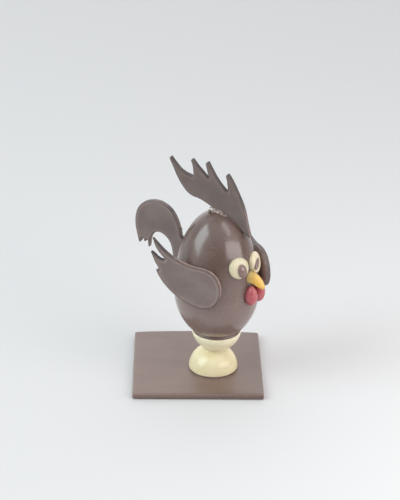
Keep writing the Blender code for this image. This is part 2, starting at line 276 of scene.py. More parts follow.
class Recipe:
    """A Geometry Nodes tree with named inputs, run once on a mesh."""

    def __init__(self, name: str) -> None:
        """Start an empty tree that takes and gives geometry.

        Args:
            name: the tree's name.
        """
        self.tree = bpy.data.node_groups.new(name, "GeometryNodeTree")
        self.graph = Graph(self.tree)
        self.keys: dict[str, str] = {}
        face = self.tree.interface
        face.new_socket("Geometry", in_out="OUTPUT", socket_type="NodeSocketGeometry")
        face.new_socket("Geometry", in_out="INPUT", socket_type="NodeSocketGeometry")
        self.source = self.tree.nodes.new("NodeGroupInput")

    @property
    def geometry(self) -> Socket:
        """The mesh that the recipe is run on."""
        return Socket(self.graph, self.source.outputs["Geometry"])

    def ask(self, name: str, kind: str = "NodeSocketFloat") -> Socket:
        """Add a named input.

        Args:
            name: its name.
            kind: Blender's name of its socket's type.

        Returns:
            The input as a socket of the tree.
        """
        added = self.tree.interface.new_socket(name, in_out="INPUT", socket_type=kind)
        self.keys[name] = added.identifier
        return Socket(self.graph, self.source.outputs[name])

    def close(self, geometry: Socket, material: Socket) -> None:
        """Realize, smooth, dress and give back the geometry.

        Args:
            geometry: what the recipe has made.
            material: its finish.
        """
        real = self.graph.node("GeometryNodeRealizeInstances", None, {"Geometry": geometry})
        even = self.graph.node("GeometryNodeSetShadeSmooth", None, {"Geometry": real})
        dressed = self.graph.node("GeometryNodeSetMaterial", None,
                                  {"Geometry": even, "Material": material})
        out = self.tree.nodes.new("NodeGroupOutput")
        self.graph.join(dressed, out.inputs["Geometry"])

    def run(self, mesh: bpy.types.Mesh, inputs: Mapping[str, object]) -> bpy.types.Mesh:
        """Run the tree.

        Args:
            mesh: what it starts from.
            inputs: a value for each named input.

        Returns:
            A plain mesh.
        """
        carrier = bpy.data.objects.new(self.tree.name + "_carrier", mesh)
        bpy.context.scene.collection.objects.link(carrier)
        modifier = carrier.modifiers.new("recipe", "NODES")
        modifier.node_group = self.tree
        for name, value in inputs.items():
            modifier[self.keys[name]] = value
        return taken_from(carrier)


def taken_from(carrier: bpy.types.Object) -> bpy.types.Mesh:
    """Turn an object with live modifiers into a plain mesh and remove the object.

    Args:
        carrier: the object, which is in the scene.

    Returns:
        Its evaluated mesh.
    """
    bpy.context.view_layer.update()
    depsgraph = bpy.context.evaluated_depsgraph_get()
    mesh = bpy.data.meshes.new_from_object(carrier.evaluated_get(depsgraph))
    carrier.modifiers.clear()
    bpy.data.objects.remove(carrier, do_unlink=True)
    return mesh


# --------------------------------------------------------------------------------------------
# Finishes


@dataclass(frozen=True)
class Chocolate:
    """One chocolate finish.  Sizes are in metres."""

    slot: Slot
    deep: Colour                    # the colour of the mass
    pale: Colour                    # where it is bloomed, rubbed or thin, and where painted light pales it
    rim: Colour                     # by the "rim" attribute: painted highlight and rim light on the sheets' rims, partly painted highlight on the lumps, own paler colour on the cup and eyes, the beak's duller base
    roughness: float
    roughness_swing: float = 0.08   # how far the sheen changes from place to place
    coat: float = 0.0
    coat_roughness: float = 0.1
    cloud_size: float = 14.0 * MM   # broad clouds of paler colour
    cloud_range: Span = (0.35, 0.68)
    cloud_share: float = 0.5
    streak: Point = (1.0, 1.0, 1.0)     # how much finer the clouds are along each axis
    fleck_size: float = 1.2 * MM    # fine mottling
    fleck_range: Span = (0.4, 0.7)
    fleck_share: float = 0.15
    fleck_dull: float = 0.03        # how much rougher the flecks are
    edge_shade: float = 0.62        # painted shade: how dark the cut edges and the bubbles' hollows are, by the "edge" attribute
    grain_size: float = 0.7 * MM    # fine relief
    grain_depth: float = 0.02 * MM
    swell_size: float = 16.0 * MM   # slow waves that bend the highlights
    swell_depth: float = 0.10 * MM
    pit_spacing: float = 3.5 * MM   # burst air bubbles
    pit_radius: float = 0.16
    pit_depth: float = 0.08 * MM
    # painted shade: how much darker the bubbles' hollows are
    pit_shade: float = 0.5
    pit_dull: float = 0.2
    painted_light_heights: Span = (0.0, 0.0)         # painted light: heights where the paler colour starts and is full
    painted_light_share: float = 0.0
    soft: float = 0.0               # how much light seeps in
    seep: Colour = (1.0, 0.8, 0.5)
    seep_reach: float = 2.0 * MM

    def material(self) -> bpy.types.Material:
        """The finish as a material.

        Returns:
            A new material, named for its slot.
        """
        made = bpy.data.materials.new(self.slot.value + "_chocolate")
        made.use_nodes = True
        graph = Graph(made.node_tree)
        shader = made.node_tree.nodes["Principled BSDF"]
        place = graph.node("ShaderNodeTexCoord").other("Object")
        drawn = graph.node("ShaderNodeMapping", None, {"Vector": place, "Scale": self.streak})
        cloud = graph.ramp(graph.noise(drawn, self.cloud_size, detail=3.0), *self.cloud_range)
        fleck = graph.ramp(graph.noise(place, self.fleck_size, detail=3.0, turn=4.0),
                           *self.fleck_range)
        cell = graph.node("ShaderNodeTexVoronoi", None,
                          {"Vector": place, "Scale": 1.0 / self.pit_spacing})
        pit = graph.ramp(cell, self.pit_radius, 0.0)
        sheen = (cloud - 0.5) * self.roughness_swing + fleck * self.fleck_dull + self.roughness
        graph.join(self._colour(graph, place, cloud, fleck, pit), shader.inputs["Base Color"])
        graph.join(sheen + pit * self.pit_dull, shader.inputs["Roughness"])
        graph.join(self._relief(graph, place, pit), shader.inputs["Normal"])
        shader.inputs["Coat Weight"].default_value = self.coat
        shader.inputs["Coat Roughness"].default_value = self.coat_roughness
        if self.soft:
            shader.inputs["Subsurface Weight"].default_value = self.soft
            shader.inputs["Subsurface Radius"].default_value = self.seep
            shader.inputs["Subsurface Scale"].default_value = self.seep_reach
        return made

    def _colour(self, graph: Graph, place: Socket, cloud: Socket, fleck: Socket,
                pit: Socket) -> Socket:
        """The colour: pale clouds and flecks, painted highlight and rim light on rims, painted
        shade on edges and hollows, painted light by height, and the piece's tone and painted
        light.

        Args:
            graph: the material's tree.
            place: the position on the object.
            cloud: the mask of the broad clouds.
            fleck: the mask of the fine mottling.
            pit: the mask of the burst bubbles.

        Returns:
            The colour.
        """
        share = cloud * self.cloud_share + fleck * self.fleck_share
        # Painted light: paler by height, for the light that falls more on the lower part.
        if self.painted_light_share:
            height = graph.node("ShaderNodeSeparateXYZ", None, {"Vector": place}).other("Z")
            share = share + graph.ramp(height, *self.painted_light_heights) * self.painted_light_share
        shade = tuple(self.edge_shade * part for part in self.deep)
        colour = graph.mix(share, (*self.deep, 1.0), (*self.pale, 1.0))
        colour = graph.mix(graph.marked("rim"), colour, (*self.rim, 1.0))
        # Painted shade: the cut edges and the bubbles' hollows are darkened.
        colour = graph.mix(graph.marked("edge") + pit * self.pit_shade, colour, (*shade, 1.0))
        return graph.node("ShaderNodeVectorMath", {"operation": "SCALE"},
                          {"Vector": colour, "Scale": graph.marked("tone") + 1.0})

    def _relief(self, graph: Graph, place: Socket, pit: Socket) -> Socket:
        """The bumped normal: fine grain, slow waves and the burst bubbles.

        Args:
            graph: the material's tree.
            place: the position on the object.
            pit: the mask of the burst bubbles.

        Returns:
            The normal.
        """
        grain = graph.noise(place, self.grain_size, detail=4.0, turn=2.0)
        swell = graph.noise(place, self.swell_size, detail=1.0, turn=7.0)
        height = grain * self.grain_depth + swell * self.swell_depth - pit * self.pit_depth
        return graph.node("ShaderNodeBump", None, {"Height": height, "Distance": 1.0})


FINISHES = (
    Chocolate(Slot.PLAQUE, deep=(0.163, 0.102, 0.083), pale=(0.218, 0.148, 0.126),
              rim=(0.250, 0.180, 0.150), roughness=0.38, coat=0.12, coat_roughness=0.14,
              cloud_size=26 * MM, streak=(0.6, 1.6, 1.0), swell_size=22 * MM,
              swell_depth=0.12 * MM),
    # The egg is painted paler towards its bottom: painted light from below.
    Chocolate(Slot.EGG, deep=(0.122, 0.076, 0.064), pale=(0.246, 0.170, 0.150),
              rim=(0.150, 0.110, 0.100), roughness=0.27, cloud_share=0.22,
              painted_light_heights=(98 * MM, 62 * MM), painted_light_share=0.72, coat=0.5, coat_roughness=0.13,
              cloud_size=20 * MM, grain_depth=0.006 * MM, pit_spacing=7 * MM,
              pit_radius=0.07, pit_depth=0.05 * MM),
    Chocolate(Slot.SHEET, deep=(0.143, 0.105, 0.096), pale=(0.198, 0.154, 0.143),
              rim=(0.320, 0.220, 0.190), roughness=0.42, roughness_swing=0.12,
              cloud_size=12 * MM, edge_shade=0.22, grain_depth=0.03 * MM),
    Chocolate(Slot.DROP, deep=(0.162, 0.096, 0.082), pale=(0.205, 0.138, 0.120),
              rim=(0.480, 0.410, 0.360), roughness=0.18, coat=0.4, coat_roughness=0.08,
              cloud_size=5 * MM, swell_size=5 * MM, swell_depth=0.05 * MM,
              grain_depth=0.01 * MM),
    Chocolate(Slot.IVORY, deep=(0.762, 0.655, 0.388), pale=(0.825, 0.740, 0.505),
              rim=(0.870, 0.810, 0.640), roughness=0.34, coat=0.4, cloud_size=9 * MM,
              fleck_share=0.25, grain_depth=0.012 * MM, soft=0.15),
    Chocolate(Slot.YELLOW, deep=(0.800, 0.480, 0.098), pale=(0.850, 0.595, 0.185),
              rim=(0.660, 0.480, 0.175), roughness=0.30, coat=0.2, cloud_size=5 * MM,
              grain_depth=0.012 * MM, soft=0.12),
    Chocolate(Slot.RED, deep=(0.450, 0.088, 0.106), pale=(0.550, 0.155, 0.172),
              rim=(0.560, 0.160, 0.170), roughness=0.28, coat=0.25, cloud_size=5 * MM,
              streak=(1.0, 1.0, 0.5), grain_depth=0.012 * MM, soft=0.12,
              seep=(1.0, 0.3, 0.2)),
)


# --------------------------------------------------------------------------------------------
# The bird's form


@dataclass(frozen=True)
class EggForm:
    """The egg that everything on the bird is placed from.  Lengths in millimetres."""

    centre: Point = (13.6, -6.2, 73.0)      # of its widest ring
    radius: float = 32.6
    above: float = 64.3                     # from the widest ring to the top
    below: float = 40.8                     # from the widest ring to the bottom
    lean: float = -1.0                      # degrees about Y
    heading: float = -36.0                  # degrees from +X

    def middle(self) -> Vector:
        """The centre of the widest ring, in metres."""
        return Vector(self.centre) * MM

    def standing(self) -> Matrix:
        """The egg's own place and lean."""
        return Matrix.Translation(self.middle()) @ turned_about("Y", self.lean)

    def facing(self) -> Matrix:
        """The bird's place and heading, upright."""
        return Matrix.Translation(self.middle()) @ turned_about("Z", self.heading)

    def radius_at(self, height: float) -> float:
        """The radius at a height from the widest ring, both in millimetres."""
        reach = self.above if height > 0 else self.below
        return self.radius * math.sqrt(max(0.0, 1.0 - (height / reach) ** 2))

    def slope_at(self, height: float) -> float:
        """How far the surface faces upwards.

        Args:
            height: millimetres from the widest ring.

        Returns:
            The slope in degrees, negative below the ring.
        """
        reach = self.above if height > 0 else self.below
        up = height / reach ** 2
        return math.degrees(math.atan2(up, self.radius_at(height) / self.radius ** 2))

    def seat(self, turn: float, height: float) -> Matrix:
        """A place on the egg whose Z points straight out of it.

        Args:
            turn: degrees round the egg from the heading, towards the bird's left.
            height: millimetres from the widest ring.

        Returns:
            The place's matrix.
        """
        out = self.radius_at(height) * MM
        return (self.facing() @ turned_about("Z", turn)
                @ Matrix.Translation((out, 0.0, height * MM))
                @ turned_about("Y", 90.0 - self.slope_at(height)))

    def clearance(self, point: Vector, home: Matrix) -> float:
        """Roughly how far outside the egg a point is.

        Args:
            point: the point, in metres.
            home: the inverse of standing().

        Returns:
            The distance in metres, negative inside.
        """
        own = home @ point
        reach = (self.above if own.z > 0 else self.below) * MM
        radius = self.radius * MM
        share = math.sqrt((own.x ** 2 + own.y ** 2) / radius ** 2 + (own.z / reach) ** 2)
        return own.length * (1.0 - 1.0 / max(share, 1e-6))


def turned_about(axis: str, degrees: float) -> Matrix:
    """A turn about an axis."""
    return Matrix.Rotation(math.radians(degrees), 4, axis)


def wander(point: Vector, size: float, seed: float) -> float:
    """Smooth unevenness between -1 and 1.

    Args:
        point: where, in metres.
        size: the size of its blobs, in metres.
        seed: which of the many.

    Returns:
        The unevenness at the point.
    """
    return noise.noise(point / size + Vector((seed * 7.3, seed * 3.1, seed * 5.7)))


def drawn_in(point: Vector, depth: float, size: float, seed: float) -> float:
    """Smooth unevenness that only draws a surface in.

    Args:
        point: where, in metres.
        depth: how far it is drawn in on average.
        size: the size of the hollows, in metres.
        seed: which of the many.

    Returns:
        A number between 0 and minus twice the depth.
    """
    return depth * (wander(point, size, seed) - 1.0)


def mesh_of(form: bmesh.types.BMesh, name: str) -> bpy.types.Mesh:
    """Turn a form into a mesh that is shaded smooth.

    Args:
        form: the form, which is freed.
        name: the mesh's name.

    Returns:
        The mesh.
    """
    mesh = bpy.data.meshes.new(name)
    form.to_mesh(mesh)
    form.free()
    mesh.shade_smooth()
    return mesh


def lathe(profile: Sequence[tuple[float, float]], steps: int) -> bpy.types.Mesh:
    """Turn a closed profile round Z.

    Args:
        profile: (radius, height) points in metres, from the axis, out and up, back to it.
        steps: how many facets go round.

    Returns:
        A closed mesh with its faces outwards.
    """
    form = bmesh.new()
    rings: list[list[bmesh.types.BMVert]] = []
    for radius, height in profile:
        if radius < 1e-9:
            rings.append([form.verts.new((0.0, 0.0, height))])
            continue
        angles = [math.tau * i / steps for i in range(steps)]
        rings.append([form.verts.new((radius * math.cos(a), radius * math.sin(a), height))
                      for a in angles])
    for low, high in zip(rings, rings[1:]):
        for i in range(steps):
            j = (i + 1) % steps
            corners = [low[i % len(low)], low[j % len(low)],
                       high[j % len(high)], high[i % len(high)]]
            form.faces.new(list(dict.fromkeys(corners)))
    bmesh.ops.recalc_face_normals(form, faces=form.faces)
    return mesh_of(form, "turned")


def bend(start: float, end: float, steps: int) -> list[tuple[float, float]]:
    """Cosines and sines along an arc, the angles in degrees."""
    angles = [math.radians(start + (end - start) * i / steps) for i in range(steps + 1)]
    return [(math.cos(a), math.sin(a)) for a in angles]


def move_points(mesh: bpy.types.Mesh, rule: Callable[[Vector], Vector]) -> bpy.types.Mesh:
    """Move each point of a mesh by a rule.

    Args:
        mesh: the mesh, which is changed.
        rule: from a point to its new place.

    Returns:
        The same mesh.
    """
    for vert in mesh.vertices:
        vert.co = rule(vert.co)
    mesh.update()
    return mesh


def mark(mesh: bpy.types.Mesh, name: str, values: Sequence[float]) -> None:
    """Write a number for each point of a mesh, for its material to read."""
    mesh.attributes.new(name, "FLOAT", "POINT").data.foreach_set("value", values)


def ease(value: float, low: float, high: float) -> float:
    """0 at low, 1 at high and smooth between them."""
    share = min(1.0, max(0.0, (value - low) / (high - low)))
    return share * share * (3.0 - 2.0 * share)


def path_mesh(points: Iterable[Vector], closed: bool = False) -> bpy.types.Mesh:
    """A line of edges.

    Args:
        points: the points that it runs through.
        closed: whether the last point is joined to the first.

    Returns:
        A mesh with no faces.
    """
    places = list(points)
    edges = [(i, i + 1) for i in range(len(places) - 1)]
    if closed:
        edges.append((len(places) - 1, 0))
    mesh = bpy.data.meshes.new("path")
    mesh.from_pydata(places, edges, [])
    return mesh


# --------------------------------------------------------------------------------------------
# The workshop: recipes, finishes and the list of pieces


class Workshop:
    """Holds what every sub-assembly uses and puts finished pieces in the scene."""

    def __init__(self, frame: dict) -> None:
        """Prepare the finishes and the recipes.

        Args:
            frame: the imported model, as it was loaded.
        """
        self.nodes: dict[str, bpy.types.Object] = frame["nodes"]
        self.egg = EggForm()
        self.finishes = {finish.slot: finish.material() for finish in FINISHES}
        self.egg_recipe = moulded_egg()
        self.run_recipe = piped_run()
        self.lump_recipe = lumps_along()
        self.made = 0

    def add(self, name: str, mesh: bpy.types.Mesh, slot: Slot, *replaced: str,
            tone: float = 0.0) -> None:
        """Put a finished mesh in the scene as a piece of the bird.

        Args:
            name: the piece's name.
            mesh: its mesh, in its final place.
            slot: its finish.
            replaced: the solids that it stands for.
            tone: how much lighter than the finish this piece is, as a share: its own tone and
                painted light.
        """
        if "tone" not in mesh.attributes:
            mark(mesh, "tone", [tone] * len(mesh.vertices))
        mesh.name = name
        mesh.materials.clear()
        mesh.materials.append(self.finishes[slot])
        piece = bpy.data.objects.new(name, mesh)
        bpy.context.scene.collection.objects.link(piece)
        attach(piece, BODY)
        if replaced:
            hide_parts(*replaced)
        self.made += 1
        LOG.info("%2d %-18s %6d faces", self.made, name, len(mesh.polygons))

    def run_along(self, name: str, points: Iterable[Vector], slot: Slot, radius: float,
                  *replaced: str, closed: bool = False, flat: float = 1.0,
                  uneven: float = 0.35, step: float = 0.5 * MM, seed: int = 1,
                  tone: float = 0.0) -> None:
        """Pipe a run of melted chocolate along a path.

        Args:
            name: the piece's name.
            points: the path.
            slot: its finish.
            radius: the run's radius.
            replaced: the solids that it stands for.
            closed: whether the path is a ring.
            flat: its height for a width of 1.
            uneven: how far its radius changes, as a share.
            step: how far apart its rings are.
            seed: which of the many uneven runs it is.
            tone: how much lighter than the finish it is, as a share: its own tone and painted
                light.
        """
        inputs = {"Radius": radius, "Flatness": flat, "Unevenness": uneven, "Step": step,
                  "Seed": float(seed), "Tapered": 0.0 if closed else 1.0,
                  "Finish": self.finishes[slot]}
        self.add(name, self.run_recipe.run(path_mesh(points, closed), inputs), slot, *replaced,
                 tone=tone)


EGG_SWELL = 24.0 * MM               # the size of the egg's slow unevenness
RUN_LUMP = 3.0 * MM                 # the length of a run's thick and thin stretches
RUN_CONTRAST = 4.0                  # brings the noise to about -1 to 1
RUN_SIDES = 14
RUN_TAPER = 0.4                     # the lower, the blunter its ends
LUMP_LEAST = (0.4, 0.4, 0.5)        # scales of the smallest and the largest lump
LUMP_MOST = (1.2, 1.2, 1.5)


def moulded_egg() -> Recipe:
    """The recipe of the egg: a ball drawn out to its own reach above and below.

    Returns:
        A recipe that needs no source mesh.
    """
    recipe = Recipe("moulded_egg")
    radius = recipe.ask("Radius")
    above = recipe.ask("Above")
    below = recipe.ask("Below")
    uneven = recipe.ask("Unevenness")
    around = recipe.ask("Segments", "NodeSocketInt")
    rings = recipe.ask("Rings", "NodeSocketInt")
    finish = recipe.ask("Finish", "NodeSocketMaterial")
    graph = recipe.graph
    ball = graph.node("GeometryNodeMeshUVSphere", None,
                      {"Segments": around, "Rings": rings, "Radius": 1.0})
    parts = graph.node("ShaderNodeSeparateXYZ", None,
                       {"Vector": graph.node("GeometryNodeInputPosition")})
    upper = parts.other("Z") > 0.0
    reach = below + (above - below) * upper
    drawn = graph.node("ShaderNodeCombineXYZ", None,
                       {"X": parts.other("X") * radius, "Y": parts.other("Y") * radius,
                        "Z": parts.other("Z") * reach})
    swell = 1.0 + (graph.noise(drawn, EGG_SWELL, detail=0.0) - 0.5) * uneven / radius
    place = graph.node("ShaderNodeVectorMath", {"operation": "SCALE"},
                       {"Vector": drawn, "Scale": swell})
    egg = graph.node("GeometryNodeSetPosition", None, {"Geometry": ball, "Position": place})
    recipe.close(egg, finish)
    return recipe


def piped_run() -> Recipe:
    """The recipe of a run of melted chocolate along a line.

    Returns:
        A recipe that is run on a line of edges.
    """
    recipe = Recipe("piped_run")
    radius = recipe.ask("Radius")
    flat = recipe.ask("Flatness")
    uneven = recipe.ask("Unevenness")
    step = recipe.ask("Step")
    seed = recipe.ask("Seed")
    tapered = recipe.ask("Tapered")
    finish = recipe.ask("Finish", "NodeSocketMaterial")
    graph = recipe.graph
    line = graph.node("GeometryNodeMeshToCurve", None, {"Mesh": recipe.geometry})
    line = graph.node("GeometryNodeResampleCurve", {"mode": "LENGTH"},
                      {"Curve": line, "Length": step})
    along = graph.node("GeometryNodeSplineParameter")
    arch = graph.node("ShaderNodeMath", {"operation": "SINE"}, {0: along * math.pi})
    taper = 1.0 - tapered + tapered * (arch ** RUN_TAPER)
    lumpy = graph.noise(graph.node("GeometryNodeInputPosition"), RUN_LUMP, turn=seed)
    width = taper * (1.0 + (lumpy - 0.5) * RUN_CONTRAST * uneven)
    ring = graph.node("GeometryNodeCurvePrimitiveCircle", None,
                      {"Resolution": RUN_SIDES, "Radius": radius})
    spot = graph.node("ShaderNodeSeparateXYZ", None,
                      {"Vector": graph.node("GeometryNodeInputPosition")})
    oval = graph.node("ShaderNodeCombineXYZ", None,
                      {"X": spot.other("X"), "Y": spot.other("Y") * flat})
    ring = graph.node("GeometryNodeSetPosition", None, {"Geometry": ring, "Position": oval})
    tube = graph.node("GeometryNodeCurveToMesh", None,
                      {"Curve": line, "Profile Curve": ring, "Scale": width,
                       "Fill Caps": True})
    recipe.close(tube, finish)
    return recipe


def lumps_along() -> Recipe:
    """The recipe of a string of uneven lumps along a line.

    Returns:
        A recipe that is run on a line of edges.
    """
    recipe = Recipe("lumps_along")
    radius = recipe.ask("Radius")
    spacing = recipe.ask("Spacing")
    seed = recipe.ask("Seed", "NodeSocketInt")
    finish = recipe.ask("Finish", "NodeSocketMaterial")
    graph = recipe.graph
    line = graph.node("GeometryNodeMeshToCurve", None, {"Mesh": recipe.geometry})
    spots = graph.node("GeometryNodeCurveToPoints", {"mode": "LENGTH"},
                       {"Curve": line, "Length": spacing})
    size = graph.node("FunctionNodeRandomValue", {"data_type": "FLOAT_VECTOR"},
                      {"Min": LUMP_LEAST, "Max": LUMP_MOST, "Seed": seed})
    lump = graph.node("GeometryNodeMeshIcoSphere", None, {"Radius": radius, "Subdivisions": 3})
    lumps = graph.node("GeometryNodeInstanceOnPoints", None,
                       {"Points": spots, "Instance": lump, "Rotation": spots.other("Rotation"),
                        "Scale": size})
    recipe.close(lumps, finish)
    return recipe


# --------------------------------------------------------------------------------------------
# Sub-assemblies


class SubAssembly(Protocol):
    """A group of the bird's pieces that are made together."""

    def build(self, shop: Workshop) -> None:
        """Make the pieces and hand them over."""


@dataclass(frozen=True)
class Wear:
    """A stretch of a sheet's rim painted pale where it faces the light: painted rim light."""

    share: float = 0.0                  # how pale it is
    way: Point = (0.55, -0.25, 0.8)     # the way that the rim faces there, in the frame
    steepness: float = 1.0              # how steep the surface is there, 1 for the cut edge
    spread: float = 0.45                # how much steeper or flatter it may be
    band: float = 0.6 * MM              # how far from the rim it reaches
    facing: Span = (0.0, 0.6)           # how nearly the rim faces the way: none, then all
    axis: int = 0                       # along this axis of the frame it is painted lit,
    span: Span = (-1.0, -0.9)           # not before the first place, fully after the second

    def at(self, facing: float, along: float, steep: float, far: float) -> float:
        """How much painted rim light a point takes.

        Args:
            facing: how nearly the rim there faces the way, 1 for straight.
            along: the point's place along the axis.
            steep: how steep the surface is, 1 for the cut edge.
            far: how far the point is from the rim.

        Returns:
            The share of the rim's colour that it takes.
        """
        near = math.exp(-((steep - self.steepness) / self.spread) ** 2 - (far / self.band) ** 2)
        return self.share * ease(facing, *self.facing) * ease(along, *self.span) * near


@dataclass(frozen=True)
class LitCut:
    """A stretch of a sheet's cut edge where the painted edge shade is taken off and painted light
    is added.
    """

    share: float = 0.0
    way: Point = (1.0, 0.0, 0.0)        # the way that the edge faces there, in the frame
    facing: Span = (0.5, 0.9)           # how nearly the edge faces the way: none, then all
    rise: Span = (-1.7 * MM, -1.0 * MM)     # from the middle to the crowned face: none, then all

    def at(self, facing: float, above: float) -> float:
        """How much painted light the cut takes at a point.

        Args:
            facing: how nearly the rim there faces the way, 1 for straight.
            above: how far the point is from the sheet's middle, towards the crowned face.

        Returns:
            The share of the painted edge shade that is taken away, and of painted light that is
            added.
        """
        return self.share * ease(facing, *self.facing) * ease(above, *self.rise)


class RimLine:
    """The points on the rim of a sheet that lies flat."""

    FLATTEST = 0.6                      # how far a rim's surface may face up or down

    def __init__(self, mesh: bpy.types.Mesh) -> None:
        """Find the points whose surface is nearer to upright than to flat.

        Args:
            mesh: the sheet in its own axes.
        """
        self.points = [vert for vert in mesh.vertices if abs(vert.normal.z) < self.FLATTEST]
        self.middle = sum(vert.co.z for vert in self.points) / len(self.points)
        self.tree = kdtree.KDTree(len(self.points))
        for i, vert in enumerate(self.points):
            self.tree.insert(vert.co, i)
        self.tree.balance()

    def nearest(self, place: Vector) -> tuple[Vector, float]:
        """Find the rim's point nearest to a place.

        Args:
            place: the place, in the sheet's axes.

        Returns:
            The way that the rim faces there, and how far away it is.
        """
        _, index, far = self.tree.find(place)
        return self.points[index].normal, far


@dataclass
class PouredSheet:
    """A sheet of chocolate, poured flat: one face crisp, the other crowned to soft rims."""

    name: str                       # the solid's node and the first word of the piece's name
    bearing: float                  # degrees, turn of the sheet about Z
    tilt: float                     # degrees, turn about its own X; 0 lies flat
    poured: Face                    # the crowned face
    slot: Slot = Slot.SHEET
    voxel: float = 0.42 * MM
    weld: float = 0.001 * MM        # points of the solid nearer than this are joined
    rounds: int = 8                 # of smoothing, which rounds the rims
    smoothing: Span = (0.5, -0.53)  # of each such round, and of those that regain the size
    thickness: float = 4.0 * MM
    crown_width: float = 2.6 * MM   # how far in from the rim the face starts to fall
    crown_fall: float = 0.45 * MM   # how much it has fallen at the rim
    waves: float = 0.07 * MM        # unevenness of the crowned face
    wave_size: float = 13.0 * MM
    ragged: float = 0.08 * MM       # unevenness of the rim
    nick_size: float = 2.4 * MM
    highlight_inset: float = 2.0 * MM     # where the painted highlight along the rim lies
    highlight_band: float = 0.6 * MM      # its half width
    highlight_share: float = 0.5          # how strong it is
    highlight_swing: Span = (0.7, 0.5)        # its middle strength from place to place, and the swing
    highlight_swing_size: float = 3.0 * MM    # how long its stronger and weaker stretches are
    edge_shade_share: float = 0.9         # painted shade: how dark the cut edge is
    edge_shade_steep: float = 0.6         # where it is full, 1 for upright
    edge_shade_swing: float = 0.4             # how strong the darker and lighter spots in its painted shade are
    edge_shade_swing_size: float = 2.0 * MM
    lip: float = 0.6 * MM           # how far the painted shade reaches in from the edge
    lit_cut: LitCut = LitCut()
    wear: Wear = Wear()
    back_fill_light: float = 0.0          # painted fill light: how much lighter the face is that lay downwards
    back_fill_facing: Span = (0.0, 0.8)  # how nearly a point faces that way: none, then all
    tone: float = 0.0               # how much lighter than the finish it is: its own tone and painted light
    light_drift: float = 0.0              # painted light and shade: how much darker it gets along its own X
    light_drift_reach: float = 50 * MM    # over this distance
    seat: float | None = 1.1 * MM   # how near to the egg it is bonded, None for no egg
    seed: float = 1.0

    def axes(self) -> Matrix:
        """The turn from the sheet's own axes to the frame's."""
        return turned_about("Z", self.bearing) @ turned_about("X", self.tilt)

    def build(self, shop: Workshop) -> None:
        """Make the sheet from its solid and hand it over.

        Args:
            shop: the workshop.
        """
        mesh = self._softened(shop.nodes[self.name].data)
        self._pour(mesh)
        mesh.transform(self.axes())
        if self.seat is None:
            move_points(mesh, lambda point: Vector((point.x, point.y, max(point.z, 0.0))))
        else:
            self._bond(mesh, shop.egg)
        mesh.shade_smooth()
        shop.add(self.name + "_sheet", mesh, self.slot, self.name)

    def _softened(self, solid: bpy.types.Mesh) -> bpy.types.Mesh:
        """Make a fine copy of the solid, its rims rounded.

        Args:
            solid: the solid's mesh, in the frame.

        Returns:
            The copy, in the sheet's own axes.
        """
        form = bmesh.new()
        form.from_mesh(solid)
        bmesh.ops.remove_doubles(form, verts=form.verts, dist=self.weld)
        form.transform(self.axes().inverted())
        carrier = bpy.data.objects.new("softened", mesh_of(form, "softened"))
        bpy.context.scene.collection.objects.link(carrier)
        remesh = carrier.modifiers.new("even", "REMESH")
        remesh.mode = "VOXEL"
        remesh.voxel_size = self.voxel
        for name, factor in zip(("soften", "regain"), self.smoothing):
            smooth = carrier.modifiers.new(name, "SMOOTH")
            smooth.factor = factor
            smooth.iterations = self.rounds
        return taken_from(carrier)

    def _pour(self, mesh: bpy.types.Mesh) -> None:
        """Crown the poured face, ruffle the rim and mark both for the finish, with painted
        highlight, rim light, edge shade and light.

        Args:
            mesh: the sheet in its own axes, which is changed.
        """
        line = RimLine(mesh)
        turn = self.axes().to_3x3().inverted()
        lit_cut_way = turn @ Vector(self.lit_cut.way).normalized()
        rim_lit_way = turn @ Vector(self.wear.way).normalized()
        rim_lit_axis = turn.col[self.wear.axis]
        marks: dict[str, list[float]] = {"rim": [], "edge": [], "tone": []}
        places = []
        for vert in mesh.vertices:
            facing, far = line.nearest(vert.co)
            above = (vert.co.z - line.middle) * self.poured.value
            steep = 1.0 - abs(vert.normal.z)
            lit_cut = self.lit_cut.at(facing.dot(lit_cut_way), above)
            rim_lit = self.wear.at(facing.dot(rim_lit_way), vert.co.dot(rim_lit_axis), steep, far)
            dark = self._edge_shade_at(vert.co, steep, far) * (1.0 - lit_cut)
            marks["edge"].append(min(1.0, dark) * (1.0 - min(1.0, rim_lit)))
            marks["rim"].append(self._highlight_at(vert.co, far, rim_lit))
            # Lit cuts also get lighter here: painted light.
            marks["tone"].append(self._tone_and_light_at(vert) + lit_cut * steep)
            places.append(vert.co + self._ruffle_at(vert, steep, far)
                          + self._crown_at(vert.co, above, far))
        for vert, place in zip(mesh.vertices, places):
            vert.co = place
        for name, values in marks.items():
            mark(mesh, name, values)
        mesh.update()

    def _edge_shade_at(self, place: Vector, steep: float, far: float) -> float:
        """How much painted shade the cut edge takes at a point.

        Args:
            place: the point.
            steep: how steep the surface is, 1 for the cut edge.
            far: how far the point is from the rim.

        Returns:
            The share of the edge's colour that it takes.
        """
        edge = max(min(1.0, steep / self.edge_shade_steep) ** 2, math.exp(-(far / self.lip) ** 2))
        spots = wander(place, self.edge_shade_swing_size, self.seed + 6.0)
        return edge * self.edge_shade_share * (1.0 + self.edge_shade_swing * spots)

    def _highlight_at(self, place: Vector, far: float, rim_lit: float) -> float:
        """How pale the painted highlight along the rim is at a point, with the painted rim light.

        Args:
            place: the point.
            far: how far it is from the rim.
            rim_lit: how much painted rim light it takes.

        Returns:
            The share of the rim's colour that it takes.
        """
        line = math.exp(-((far - self.highlight_inset) / self.highlight_band) ** 2)
        strength, swing = self.highlight_swing
        strength += swing * wander(place, self.highlight_swing_size, self.seed + 4.0)
        return min(1.0, (line * self.highlight_share + rim_lit) * strength)

